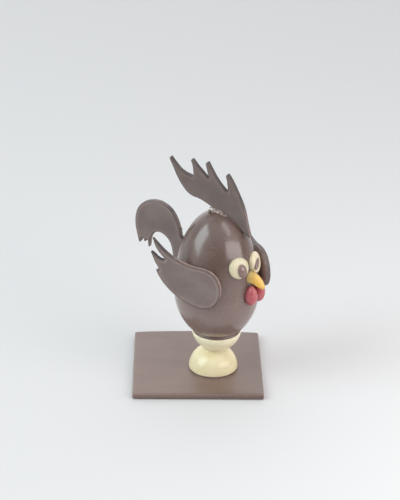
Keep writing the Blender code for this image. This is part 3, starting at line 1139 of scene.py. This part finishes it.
    def _tone_and_light_at(self, vert: bpy.types.MeshVertex) -> float:
        """How much lighter than the finish the sheet is at a point: its own tone and painted
        light and shade.

        Args:
            vert: the point.

        Returns:
            The tone and painted light as a share.
        """
        behind = ease(-vert.normal.z * self.poured.value, *self.back_fill_facing)
        return self.tone + self.back_fill_light * behind - self.light_drift * vert.co.x / self.light_drift_reach

    def _crown_at(self, place: Vector, above: float, far: float) -> Vector:
        """How the crown and the waves of the poured face move a point.

        Args:
            place: the point.
            above: how far it is from the sheet's middle, towards the crowned face.
            far: how far it is from the rim.

        Returns:
            The movement.
        """
        share = min(max(0.0, above / (self.thickness / 2.0)), 1.0)
        fall = self.crown_fall * (1.0 - min(far / self.crown_width, 1.0)) ** 2
        wave = self.waves * wander(place, self.wave_size, self.seed)
        return Vector((0.0, 0.0, share * (wave - self.waves - fall) * self.poured.value))

    def _ruffle_at(self, vert: bpy.types.MeshVertex, steep: float, far: float) -> Vector:
        """How the rim's unevenness moves a point.

        Args:
            vert: the point.
            steep: how steep the surface is, 1 for the cut edge.
            far: how far the point is from the rim.

        Returns:
            The movement.
        """
        nick = drawn_in(vert.co, self.ragged, self.nick_size, self.seed + 2.0)
        return Vector((vert.normal.x, vert.normal.y, 0.0)) * (nick * steep * math.exp(-far / MM))

    def _bond(self, mesh: bpy.types.Mesh, egg: EggForm) -> None:
        """Draw the sheet's seat into the egg, so that no gap shows.

        Args:
            mesh: the sheet in the frame, which is changed.
            egg: the egg.
        """
        home = egg.standing().inverted()
        middle = egg.middle()
        for vert in mesh.vertices:
            gap = egg.clearance(vert.co, home)
            if gap < self.seat:
                out = (vert.co - middle).normalized()
                vert.co = vert.co - out * (self.seat - max(gap, 0.0))
        mesh.update()


@dataclass
class Body:
    """The moulded egg."""

    unevenness: float = 0.10 * MM
    segments: int = 176
    rings: int = 128

    def build(self, shop: Workshop) -> None:
        """Make the egg by its recipe and hand it over.

        Args:
            shop: the workshop.
        """
        egg = shop.egg
        skin = self.unevenness / 2.0
        inputs = {"Radius": egg.radius * MM - skin, "Above": egg.above * MM - skin,
                  "Below": egg.below * MM - skin, "Unevenness": self.unevenness,
                  "Segments": self.segments, "Rings": self.rings,
                  "Finish": shop.finishes[Slot.EGG]}
        mesh = shop.egg_recipe.run(bpy.data.meshes.new("nothing"), inputs)
        mesh.transform(egg.standing())
        shop.add("egg_shell", mesh, Slot.EGG, "body")


@dataclass
class Foot:
    """The ivory foot, a dome that runs into a cup, and the runs of dark chocolate on it.

    Lengths in millimetres, heights from the plaque's top.
    """

    axis: tuple[float, float] = (12.1, -6.2)
    ground: float = 4.5                 # the plaque's top
    radius: float = 19.05
    dome_rise: float = 18.6             # height that the dome would have if it were whole
    dome_power: float = 2.06
    waist: float = 17.3
    blend: float = 4.0                  # how softly the dome runs into the cup
    cup_shift: float = 2.1              # the cup stands off the dome's axis by this much
    shift_reach: Span = (-3.5, 3.5)     # heights from the waist where that starts and is full
    cup_depth: float = 17.8
    cup_power: float = 1.8
    hollow: float = 0.62                # how deep the cup is inside, as a share of its depth
    rim: float = 32.7
    lip: float = 0.75                   # radius of the rounded lip
    toe: float = 0.9                    # radius of the rounded lower edge
    base: float = 0.3
    uneven: float = 0.12                # how far the surface is drawn in
    swell: float = 15.0                 # the size of its swells
    cup_tone_and_light: float = 0.17              # partly its own colour, partly painted light from below: how much lighter the cup is than the dome
    cup_pale: float = 0.48              # how much of the finish's palest colour it takes
    cup_reach: Span = (-3.0, 7.0)       # heights from the waist where both start and are full
    toe_bounce_light: float = 0.12              # painted light thrown up from the plaque: how much lighter the dome is near the plaque
    toe_bounce_reach: Span = (9.0, 2.0)        # heights where that starts and is full
    bead_ring: float = 17.4             # radius of the bead's middle line
    bead_above: float = 0.9             # how far that lies above the rim
    bead_radius: float = 1.35
    run_inset: float = 0.5              # the thin run's middle line, in from the dome's edge
    run_height: float = 0.25
    run_radius: float = 0.5
    rows: int = 90
    steps: int = 128

    def build(self, shop: Workshop) -> None:
        """Make the foot and hand it over.

        Args:
            shop: the workshop.
        """
        mesh = lathe([(r * MM, z * MM) for r, z in self._profile()], self.steps)
        move_points(mesh, self._shaped)
        heights = [vert.co.z / MM for vert in mesh.vertices]
        upper = [ease(z - self.waist, *self.cup_reach) for z in heights]
        # Painted light: the dome paler near the plaque and the cup paler than the dome.
        mark(mesh, "tone", [self.cup_tone_and_light * share + self.toe_bounce_light * ease(z, *self.toe_bounce_reach)
                            for share, z in zip(upper, heights)])
        mark(mesh, "rim", [self.cup_pale * share for share in upper])
        mesh.transform(Matrix.Translation(Vector((*self.axis, self.ground)) * MM))
        shop.add("foot_form", mesh, Slot.IVORY, "foot_dome", "foot_cup")
        self._runs(shop)

    def _bowl(self, depth: float, reach: float, power: float) -> float:
        """A bowl's radius at a depth below its rim."""
        return self.radius * max(0.0, 1.0 - (depth / reach) ** power) ** (1.0 / power)

    def radius_at(self, height: float) -> float:
        """The foot's radius, the dome blended into the cup.

        Args:
            height: the height.

        Returns:
            The radius there.
        """
        dome = self._bowl(height, self.dome_rise, self.dome_power)
        cup = self._bowl(self.rim - height, self.cup_depth, self.cup_power)
        near = max(0.0, self.blend - abs(dome - cup))
        return max(dome, cup) + near ** 2 / (4.0 * self.blend)

    def shift_at(self, height: float) -> float:
        """How far the foot's axis has moved at a height."""
        return self.cup_shift * ease(height - self.waist, *self.shift_reach)

    def _profile(self) -> list[tuple[float, float]]:
        """The foot from the middle of its base, round the lip and down into the cup.

        Returns:
            (radius, height) points.
        """
        low = self.base + self.toe
        high = self.rim - self.lip
        inner = self.radius - self.toe
        levels = [low + (high - low) * i / self.rows for i in range(self.rows + 1)]
        middle = self.radius_at(high) - self.lip
        mouth = middle - self.lip
        depth = self.hollow * self.cup_depth
        points = [(0.0, self.base), (inner, self.base)]
        points += [(inner + self.toe * c, low + self.toe * s) for c, s in bend(-75.0, -8.0, 6)]
        points += [(self.radius_at(z), z) for z in levels]
        points += [(middle + self.lip * c, high + self.lip * s) for c, s in bend(12.0, 168.0, 8)]
        points += [(mouth * c, high + depth * s) for c, s in bend(-3.0, -84.0, 20)]
        return points + [(0.0, points[-1][1])]

    def _shaped(self, point: Vector) -> Vector:
        """Draw a point in a little and move it with the axis.

        Args:
            point: a point of the turned form, in metres.

        Returns:
            Its new place.
        """
        shift = Vector((self.shift_at(point.z / MM) * MM, 0.0, 0.0))
        flat = Vector((point.x, point.y, 0.0))
        if flat.length > MM:
            pull = drawn_in(point, self.uneven * MM, self.swell * MM, seed=3.0)
            point = point + flat.normalized() * pull
        return point + shift

    def _ring(self, shift: float, radius: float, height: float) -> list[Vector]:
        """Points round the foot's axis."""
        return [Vector((self.axis[0] + shift + radius * c, self.axis[1] + radius * s,
                        self.ground + height)) * MM for c, s in bend(0.0, 357.0, 119)]

    def _runs(self, shop: Workshop) -> None:
        """Pipe the bead in the cup's mouth and the thin dark run round the dome's edge, partly
        glue and partly painted contact shadow.

        Args:
            shop: the workshop.
        """
        bead = self._ring(self.cup_shift, self.bead_ring, self.rim + self.bead_above)
        shop.run_along("neck_run", bead, Slot.DROP, self.bead_radius * MM, "neck_bead",
                       closed=True, uneven=0.04, step=0.6 * MM, seed=3)
        # The thin dark run is partly glue and partly painted contact shadow.
        toe = self._ring(0.0, self.radius - self.run_inset, self.run_height)
        shop.run_along("dome_glue_and_shadow_run", toe, Slot.DROP, self.run_radius * MM, closed=True,
                       uneven=0.2, seed=8)


@dataclass
class Eye:
    """A domed ivory button with a dark drop on it.  Millimetres and degrees."""

    side: Side
    turn: float
    height: float
    pupil_in: float                     # from the button's middle towards the beak
    pupil_down: float                   # and downwards
    slant: float
    radius: float = 8.15
    rise: float = 2.95
    shoulder: float = 1.4               # height where the dome turns into the side
    round_off: float = 1.1              # radius of that turn
    round_height: float = 0.75          # the turn's height for a width of 1
    round_drop: float = 0.55            # how far its middle is below the shoulder, in radii
    skirt: float = -0.8                 # height of a ring on the straight side
    sunk: float = 2.4
    steps: int = 96
    uneven: float = 0.12                # how far the side is drawn in
    dimples: float = 0.07               # how far the dome is
    drop: Point = (5.35, 3.75, 2.15)    # the pupil's half length, half width and rise
    # Painted shade: the button is darker, as if shaded from above.
    tone: float = -0.20
    pale: float = 0.3                   # how much of the finish's palest colour it takes
    drop_tone: float = 0.32

    def build(self, shop: Workshop) -> None:
        """Make the eye and its pupil and hand them over.

        Args:
            shop: the workshop.
        """
        seat = shop.egg.seat(self.turn, self.height)
        word = self.side.word
        button = lathe([(r * MM, z * MM) for r, z in self._profile()], self.steps)
        move_points(button, self._shaped)
        mark(button, "rim", [self.pale] * len(button.vertices))
        button.transform(seat)
        shop.add(f"eye_{word}_button", button, Slot.IVORY, f"eye_{word}", tone=self.tone)
        pupil = self._pupil()
        pupil.transform(seat)
        shop.add(f"pupil_{word}_drop", pupil, Slot.DROP, f"pupil_{word}", tone=self.drop_tone)

    def _profile(self) -> list[tuple[float, float]]:
        """The button from its back to its crown.

        Returns:
            (radius, height) points.
        """
        inner = self.radius - self.round_off
        turn_z = self.shoulder - self.round_off * self.round_drop
        tall = self.round_off * self.round_height
        side = [(0.0, -self.sunk), (self.radius, -self.sunk), (self.radius, self.skirt)]
        side += [(inner + self.round_off * c, turn_z + tall * s) for c, s in bend(0.0, 66.0, 8)]
        edge_r, edge_z = side[-1]
        dome = [(edge_r * c, edge_z + (self.rise - edge_z) * s) for c, s in bend(6.0, 90.0, 22)]
        return side + dome[:-1] + [(0.0, self.rise)]

    def _shaped(self, point: Vector) -> Vector:
        """Make the button a little less than round and flat.

        Args:
            point: a point of the turned button, in metres.

        Returns:
            Its new place.
        """
        flat = Vector((point.x, point.y, 0.0))
        pull = drawn_in(point, self.uneven * MM, size=9.0 * MM, seed=self.turn)
        fall = drawn_in(point, self.dimples * MM, size=5.0 * MM, seed=self.turn + 1.0)
        if flat.length > 0.5 * MM:
            point = point + flat.normalized() * pull
        return point + Vector((0.0, 0.0, fall if point.z > 0 else 0.0))

    def _pupil(self) -> bpy.types.Mesh:
        """The drop, slanted and set off the button's middle.

        Returns:
            Its mesh, in the button's own axes.
        """
        aside = -self.side.value
        place = (Matrix.Translation((self.pupil_down, aside * self.pupil_in, self.rise))
                 @ turned_about("Z", aside * self.slant) @ Matrix.Diagonal((*self.drop, 1.0)))
        form = bmesh.new()
        bmesh.ops.create_uvsphere(form, u_segments=64, v_segments=40, radius=1.0)
        form.transform(Matrix.Scale(MM, 4) @ place)
        return mesh_of(form, "drop")


@dataclass
class Beak:
    """The hooked beak, drawn along a line of (forward, up, radius) points.  Millimetres."""

    line: tuple[Point, ...] = ((22.0, 19.2, 4.2), (29.0, 17.3, 5.75), (34.2, 16.6, 4.75),
                               (38.4, 14.6, 3.55), (41.9, 12.5, 1.9))
    stations: int = 44
    around: int = 48
    nudge: float = 0.02                 # how far to each side the line's direction is read
    tip: float = 0.9                    # how far the rounded tip reaches past the line
    underside: float = 0.6              # how deep the underside is, 1 for round
    hook: float = 35.0                  # from here to the tip it grows rounder again
    uneven: float = 0.07                # how far the surface is drawn in
    dull: Span = (36.5, 31.0)           # the colour dulls from the first to the second

    def build(self, shop: Workshop) -> None:
        """Loft the beak and hand it over.

        Args:
            shop: the workshop.
        """
        form = bmesh.new()
        rings = []
        for place, along, radius in self._rings():
            side = Vector((0.0, 1.0, 0.0))
            up = along.cross(side).normalized() * -1.0
            rings.append([form.verts.new((place + side * (radius * c) + up * (radius * s)) * MM)
                          for c, s in bend(0.0, 360.0 * (1 - 1 / self.around), self.around - 1)])
        for low, high in zip(rings, rings[1:]):
            for i in range(self.around):
                j = (i + 1) % self.around
                form.faces.new((low[i], low[j], high[j], high[i]))
        form.faces.new(rings[0])
        form.faces.new(rings[-1])
        bmesh.ops.recalc_face_normals(form, faces=form.faces)
        for vert in form.verts:
            self._flatten(vert)
        form.normal_update()
        for vert in form.verts:
            vert.co += vert.normal * drawn_in(vert.co, self.uneven * MM, size=4.0 * MM, seed=2.0)
        mesh = mesh_of(form, "beak")
        mark(mesh, "rim", [ease(vert.co.x / MM, *self.dull) for vert in mesh.vertices])
        mesh.transform(shop.egg.facing())
        shop.add("beak_form", mesh, Slot.YELLOW, "beak")

    def _flatten(self, vert: bmesh.types.BMVert) -> None:
        """Flatten the beak below its middle line, less so towards the hook.

        Args:
            vert: a point of the beak, which is moved.
        """
        forward = vert.co.x / MM
        ends = zip(self.line, self.line[1:])
        start, end = next((pair for pair in ends if forward <= pair[1][0]), self.line[-2:])
        share = min(1.0, max(0.0, (forward - start[0]) / (end[0] - start[0])))
        middle = (start[1] + (end[1] - start[1]) * share) * MM
        round_again = min(1.0, max(0.0, (forward - self.hook) / (self.line[-1][0] - self.hook)))
        squash = self.underside + (1.0 - self.underside) * round_again
        if vert.co.z < middle:
            vert.co.z = middle + (vert.co.z - middle) * squash

    def _rings(self) -> list[tuple[Vector, Vector, float]]:
        """The rings that the beak is lofted through, the tip rounded off.

        Returns:
            Each ring's middle, its direction and its radius.
        """
        made = []
        last = len(self.line) - 1
        for i in range(self.stations + 1):
            spot = last * i / self.stations
            forward, up, radius = catmull(self.line, spot)
            after = catmull(self.line, min(spot + self.nudge, last))
            before = catmull(self.line, max(spot - self.nudge, 0.0))
            along = Vector((after[0] - before[0], 0.0, after[1] - before[1])).normalized()
            made.append((Vector((forward, 0.0, up)), along, radius))
        end, along, radius = made[-1]
        for c, s in bend(12.0, 84.0, 6):
            made.append((end + along * (self.tip * s), along, radius * c))
        return made


def catmull(points: Sequence[Point], spot: float) -> Point:
    """A smooth curve through points.

    Args:
        points: the points that it runs through.
        spot: how far along, 1 for each point.

    Returns:
        The curve's values there.
    """
    low = min(int(spot), len(points) - 2)
    part = spot - low
    before, start, end, after = (points[min(max(low + k, 0), len(points) - 1)]
                                 for k in (-1, 0, 1, 2))
    out = []
    for p, q, r, s in zip(before, start, end, after):
        out.append(0.5 * (2 * q + (r - p) * part + (2 * p - 5 * q + 4 * r - s) * part ** 2
                          + (3 * q - p - 3 * r + s) * part ** 3))
    return tuple(out)


@dataclass
class Wattle:
    """A red drop under the beak.  Millimetres and degrees."""

    side: Side
    turn: float
    height: float
    half_height: float
    half_width: float = 4.95
    half_depth: float = 4.85
    reach: float = 34.7                 # from the egg's axis
    taper: float = 0.28                 # how much narrower it is at the top
    uneven: float = 0.10                # how far the surface is drawn in

    def build(self, shop: Workshop) -> None:
        """Make the drop and hand it over.

        Args:
            shop: the workshop.
        """
        form = bmesh.new()
        bmesh.ops.create_uvsphere(form, u_segments=72, v_segments=56, radius=1.0)
        for vert in form.verts:
            width = self.half_width * (1.0 - self.taper * max(vert.co.z, 0.0))
            place = Vector((vert.co.x * self.half_depth, vert.co.y * width,
                            vert.co.z * self.half_height)) * MM
            dent = drawn_in(place, self.uneven * MM, size=5.0 * MM, seed=self.turn)
            vert.co = place + place.normalized() * dent
        mesh = mesh_of(form, "wattle")
        mesh.transform(shop.egg.facing() @ turned_about("Z", self.turn)
                       @ Matrix.Translation((self.reach * MM, 0.0, self.height * MM)))
        shop.add(f"wattle_{self.side.word}_drop", mesh, Slot.RED, f"wattle_{self.side.word}")


@dataclass
class SheetJoint:
    """The melted chocolate that bonds a standing sheet to the egg.  Millimetres, degrees."""

    name: str
    turn: float                         # of the sheet, from the heading
    offset: float                       # of its middle plane, towards the bird's right
    half_thickness: float = 2.0
    radius: float = 0.6
    aside: float = 0.1                  # from the sheet's face to the middle of a run
    tone: float = 0.0                   # how much lighter than the finish the runs are
    top_steps: int = 40
    back_steps: int = 30
    seed: int = 1

    def beside(self, side: Side) -> float:
        """Where the run on one side lies, from the sheet's middle plane."""
        return -side.value * (self.half_thickness + self.aside)

    def point(self, egg: EggForm, forward: float, across: float,
              height: float | None = None) -> Vector:
        """A point on the egg in the sheet's own terms.

        Args:
            egg: the egg.
            forward: how far along the sheet's plane from the egg's axis.
            across: how far from the sheet's middle plane.
            height: from the widest ring, or None to have it worked out on the egg's top.

        Returns:
            The point, in metres.
        """
        aside = -(across + self.offset)
        if height is None:
            share = (forward ** 2 + aside ** 2) / egg.radius ** 2
            height = egg.above * math.sqrt(max(0.0, 1.0 - share))
        else:
            out = math.sqrt(max(0.0, egg.radius_at(height) ** 2 - aside ** 2))
            forward = math.copysign(out, forward)
        return (egg.facing() @ turned_about("Z", self.turn)
                @ (Vector((forward, aside, height)) * MM))

    def top_path(self, egg: EggForm, start: float, end: float, across: float,
                 lift: float = 0.0) -> list[Vector]:
        """Points over the egg's top.

        Args:
            egg: the egg.
            start: where they start along the sheet, from the egg's axis.
            end: where they end.
            across: how far from the sheet's middle plane.
            lift: how far the start stands off the egg.

        Returns:
            The points, in metres.
        """
        shares = [i / self.top_steps for i in range(self.top_steps + 1)]
        return [self.point(egg, start + (end - start) * share, across)
                + Vector((0.0, 0.0, lift * MM * (1.0 - share))) for share in shares]

    def back_path(self, egg: EggForm, low: float, high: float, across: float) -> list[Vector]:
        """Points up the egg's back.

        Args:
            egg: the egg.
            low: the height where they start, from the widest ring.
            high: the height where they end.
            across: how far from the sheet's middle plane.

        Returns:
            The points, in metres.
        """
        heights = [low + (high - low) * i / self.back_steps for i in range(self.back_steps + 1)]
        return [self.point(egg, -1.0, across, height) for height in heights]


@dataclass(frozen=True)
class LumpString:
    """A string of lumps of chocolate beside the comb's foot.  Millimetres."""

    name: str
    start: float                        # where it starts along the comb, from the egg's axis
    end: float
    out: float                          # how far it lies from the comb's face
    lift: float                         # how far its start stands off the egg
    radius: float
    pale: float                         # how much of the finish's palest colour it takes: partly own colour, partly painted highlight
    seed: int
    spacing: float = 1.4


@dataclass
class Joints:
    """The runs and lumps of melted chocolate where the comb and the tail are bonded on."""

    comb: SheetJoint
    tail: SheetJoint
    comb_span: Span = (-3.0, 18.5)      # along the comb, from the egg's axis
    tail_span: Span = (11.5, 34.0)      # heights on the egg's back
    lumps: tuple[LumpString, ...] = (
        LumpString("low", start=-5.0, end=5.2, out=1.3, lift=3.0, radius=0.95, pale=0.75, seed=5),
        LumpString("high", start=-5.2, end=8.0, out=0.3, lift=4.4, radius=0.85, pale=0.5, seed=9),
        LumpString("bed", start=-5.6, end=5.0, out=0.5, lift=1.0, radius=1.8, pale=0.05, seed=4),
    )

    def build(self, shop: Workshop) -> None:
        """Pipe the joints and hand them over.

        Args:
            shop: the workshop.
        """
        for side in Side:
            top = self.comb.top_path(shop.egg, *self.comb_span, self.comb.beside(side))
            self._pipe(shop, self.comb, side, top)
            back = self.tail.back_path(shop.egg, *self.tail_span, self.tail.beside(side))
            self._pipe(shop, self.tail, side, back)
        for string in self.lumps:
            self._dab(shop, string)

    @staticmethod
    def _pipe(shop: Workshop, joint: SheetJoint, side: Side, path: list[Vector]) -> None:
        """Pipe the run on one side of a sheet.

        Args:
            shop: the workshop.
            joint: the sheet's joint.
            side: the side.
            path: the run's middle line.
        """
        shop.run_along(f"{joint.name}_run_{side.word}", path, Slot.DROP, joint.radius * MM,
                       seed=joint.seed - side.value, tone=joint.tone)

    def _dab(self, shop: Workshop, string: LumpString) -> None:
        """Set a string of lumps beside the comb.

        Args:
            shop: the workshop.
            string: the string.
        """
        path = self.comb.top_path(shop.egg, string.start, string.end,
                                  self.comb.half_thickness + string.out, string.lift)
        inputs = {"Radius": string.radius * MM, "Spacing": string.spacing * MM,
                  "Seed": string.seed, "Finish": shop.finishes[Slot.DROP]}
        lumps = shop.lump_recipe.run(path_mesh(path), inputs)
        # Paler lumps: partly their own colour, partly painted highlight of their gloss.
        mark(lumps, "rim", [string.pale] * len(lumps.vertices))
        shop.add(f"comb_lumps_{string.name}", lumps, Slot.DROP)


# --------------------------------------------------------------------------------------------
# The studio


@dataclass(frozen=True)
class Panel:
    """A plain area light aimed at the bird.  Lengths in metres, angles in degrees."""

    name: str
    azimuth: float                      # from the front (-Y) towards +X
    elevation: float
    width: float
    height: float
    radiance: float                     # how bright the panel itself looks
    tilt: float = 0.0                   # turn about its own aim
    colour: Colour = (1.0, 1.0, 1.0)
    distance: float = 0.7

    def place(self, target: Vector) -> None:
        """Put the panel in the scene.

        Args:
            target: the point that it is aimed at.
        """
        light = bpy.data.lights.new(self.name, "AREA")
        light.shape = "RECTANGLE"
        light.size = self.width
        light.size_y = self.height
        light.energy = self.radiance * math.pi * self.width * self.height
        light.color = self.colour
        lamp = bpy.data.objects.new(self.name, light)
        around = math.radians(self.azimuth)
        up = math.radians(self.elevation)
        towards = Vector((math.sin(around) * math.cos(up), -math.cos(around) * math.cos(up),
                          math.sin(up)))
        aim = (towards * -1.0).to_track_quat("-Z", "Y").to_matrix().to_4x4()
        lamp.matrix_world = (Matrix.Translation(target + towards * self.distance) @ aim
                             @ turned_about("Z", self.tilt))
        bpy.context.scene.collection.objects.link(lamp)


@dataclass(frozen=True)
class SkyLobe:
    """Soft light from one side."""

    axis: str
    sign: float                         # the direction along the axis
    strength: float


@dataclass
class Studio:
    """Floor, light and camera.  Lengths in metres, angles in degrees."""

    floor_colour: Colour = (0.632, 0.620, 0.620)
    floor_roughness: float = 0.7
    floor_reach: float = 4.0
    floor_drop: float = 0.2 * MM        # how far it lies below the plaque's underside
    sky_colour: Colour = (0.96, 0.98, 1.0)
    sky: tuple[SkyLobe, ...] = (
        SkyLobe("X", 1.0, 0.25),
        SkyLobe("X", -1.0, 0.38),
        SkyLobe("Y", 1.0, 1.35),
        SkyLobe("Z", 1.0, 1.86),
    )
    dim_above: float = 1.4              # how much weaker the sky is straight above
    dim_focus: float = 8.0              # how narrow that dim patch is
    aim: Point = (0.012, -0.006, 0.085)
    panels: tuple[Panel, ...] = (
        Panel("window_left", azimuth=-72.0, elevation=31.0, width=1.46, height=1.83,
              radiance=4.15, tilt=-15.0, colour=(0.84, 1.0, 1.02), distance=2.5),
        Panel("window_right", azimuth=62.0, elevation=54.0, width=0.22, height=0.40,
              radiance=2.4, tilt=-2.0, colour=(1.0, 0.96, 0.94)),
        Panel("window_low", azimuth=58.0, elevation=18.0, width=0.68, height=0.27,
              radiance=3.9, tilt=-18.0, colour=(1.0, 0.95, 0.93)),
    )
    camera_place: Point = (-0.02336, -1.12044, 0.63802)
    pitch: float = 25.58                # downwards
    roll: float = 0.99
    yaw: float = 1.22
    lens: float = 118.18                # millimetres, as the sensor's width is
    sensor: float = 36.0
    clip: Span = (0.05, 20.0)           # the nearest and the furthest that it sees

    def build(self) -> None:
        """Make the floor, the lights and the camera."""
        self._floor()
        self._sky()
        for panel in self.panels:
            panel.place(Vector(self.aim))
        self._camera()
        bpy.context.scene.view_settings.view_transform = "Standard"

    def _floor(self) -> None:
        """A wide pale floor."""
        reach = self.floor_reach
        corners = [(x * reach, y * reach, -self.floor_drop)
                   for x, y in ((-1, -1), (1, -1), (1, 1), (-1, 1))]
        mesh = bpy.data.meshes.new("floor")
        mesh.from_pydata(corners, [], [(0, 1, 2, 3)])
        material = bpy.data.materials.new("pale_floor")
        material.use_nodes = True
        shader = material.node_tree.nodes["Principled BSDF"]
        shader.inputs["Base Color"].default_value = (*self.floor_colour, 1.0)
        shader.inputs["Roughness"].default_value = self.floor_roughness
        mesh.materials.append(material)
        floor = bpy.data.objects.new("floor", mesh)
        bpy.context.scene.collection.objects.link(floor)

    def _sky(self) -> None:
        """Soft light from all round, its strength given for each side."""
        world = bpy.data.worlds.new("studio")
        world.use_nodes = True
        graph = Graph(world.node_tree)
        background = world.node_tree.nodes["Background"]
        background.inputs["Color"].default_value = (*self.sky_colour, 1.0)
        way = graph.node("ShaderNodeTexCoord").other("Generated")
        parts = graph.node("ShaderNodeSeparateXYZ", None, {"Vector": way})
        total = (parts.other("Z").at_least(0.0) ** self.dim_focus) * -self.dim_above
        for lobe in self.sky:
            along = (parts.other(lobe.axis) * lobe.sign).at_least(0.0)
            total = total + along * along * lobe.strength
        graph.join(total, background.inputs["Strength"])
        bpy.context.scene.world = world

    def _camera(self) -> None:
        """The camera at the photograph's place and angle."""
        data = bpy.data.cameras.new("camera")
        data.lens = self.lens
        data.sensor_width = self.sensor
        data.clip_start, data.clip_end = self.clip
        camera = bpy.data.objects.new("camera", data)
        camera.matrix_world = (Matrix.Translation(self.camera_place)
                               @ turned_about("Z", -self.yaw)
                               @ turned_about("X", 90.0 - self.pitch)
                               @ turned_about("Z", self.roll))
        bpy.context.scene.collection.objects.link(camera)
        bpy.context.scene.camera = camera


# --------------------------------------------------------------------------------------------
# The whole bird


def sub_assemblies() -> list[SubAssembly]:
    """Every sub-assembly of the bird.

    Returns:
        The sub-assemblies, in the order in which they are built.
    """
    comb = SheetJoint("comb", turn=16.0, offset=1.3, half_thickness=2.1, radius=0.7,
                      tone=-0.35, seed=2)
    tail = SheetJoint("tail", turn=6.0, offset=0.0, tone=-0.2, seed=12)
    return [
        PouredSheet("plaque", bearing=0.0, tilt=0.0, poured=Face.UPPER, slot=Slot.PLAQUE,
                    voxel=0.8 * MM, rounds=3, thickness=4.5 * MM, crown_width=2.4 * MM,
                    crown_fall=0.35 * MM, waves=0.08 * MM, wave_size=24.0 * MM,
                    highlight_inset=0.5 * MM, highlight_share=0.8, edge_shade_share=0.2, lip=0.1 * MM,
                    light_drift=0.11, seat=None, seed=4.0),
        Foot(),
        Body(),
        # The sheets' tones are partly painted light: the lower sheets lighter, the comb darker.
        PouredSheet("comb", bearing=-20.0, tilt=90.0, poured=Face.UPPER, thickness=4.2 * MM,
                    highlight_share=0.35, edge_shade_share=0.7, lip=0.5 * MM, tone=-0.05, seat=0.6 * MM,
                    wear=Wear(1.6, way=(0.94, -0.3, 0.0), steepness=0.45, axis=2,
                              span=(148 * MM, 138 * MM))),
        PouredSheet("tail", bearing=-30.0, tilt=90.0, poured=Face.UPPER, ragged=0.24 * MM,
                    edge_shade_share=0.8, tone=0.12, seed=2.0,
                    lit_cut=LitCut(1.1, way=(1.0, -0.6, -0.2)),
                    wear=Wear(0.5, way=(-0.6, 0.0, 0.8))),
        PouredSheet("wing_right", bearing=-22.0, tilt=84.0, poured=Face.UPPER, rounds=12,
                    tone=0.2, light_drift=-0.12, seed=3.0,
                    wear=Wear(1.0, span=(-26 * MM, -14 * MM))),
        PouredSheet("wing_left", bearing=-69.0, tilt=92.0, poured=Face.LOWER,
                    thickness=4.6 * MM, tone=0.1, back_fill_light=2.6, seat=0.8 * MM, seed=5.0,
                    wear=Wear(0.5, way=(0.4, -0.8, 0.4))),
        Joints(comb, tail),
        Eye(Side.RIGHT, turn=-22.5, height=28.6, pupil_in=0.9, pupil_down=2.0, slant=10.0),
        Eye(Side.LEFT, turn=15.5, height=26.8, pupil_in=3.5, pupil_down=0.15, slant=58.0,
            drop=(5.35, 2.35, 1.15), tone=-0.08),
        Beak(),
        Wattle(Side.RIGHT, turn=-7.6, height=5.4, half_height=8.0),
        Wattle(Side.LEFT, turn=10.4, height=4.6, half_height=8.1),
    ]


def main() -> None:
    """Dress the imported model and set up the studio."""
    logging.basicConfig(level=logging.INFO, format="%(name)s: %(message)s")
    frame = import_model()
    shop = Workshop(frame)
    for assembly in sub_assemblies():
        assembly.build(shop)
    Studio().build()
    LOG.info("%d pieces", shop.made)


if __name__ == "__main__":
    main()
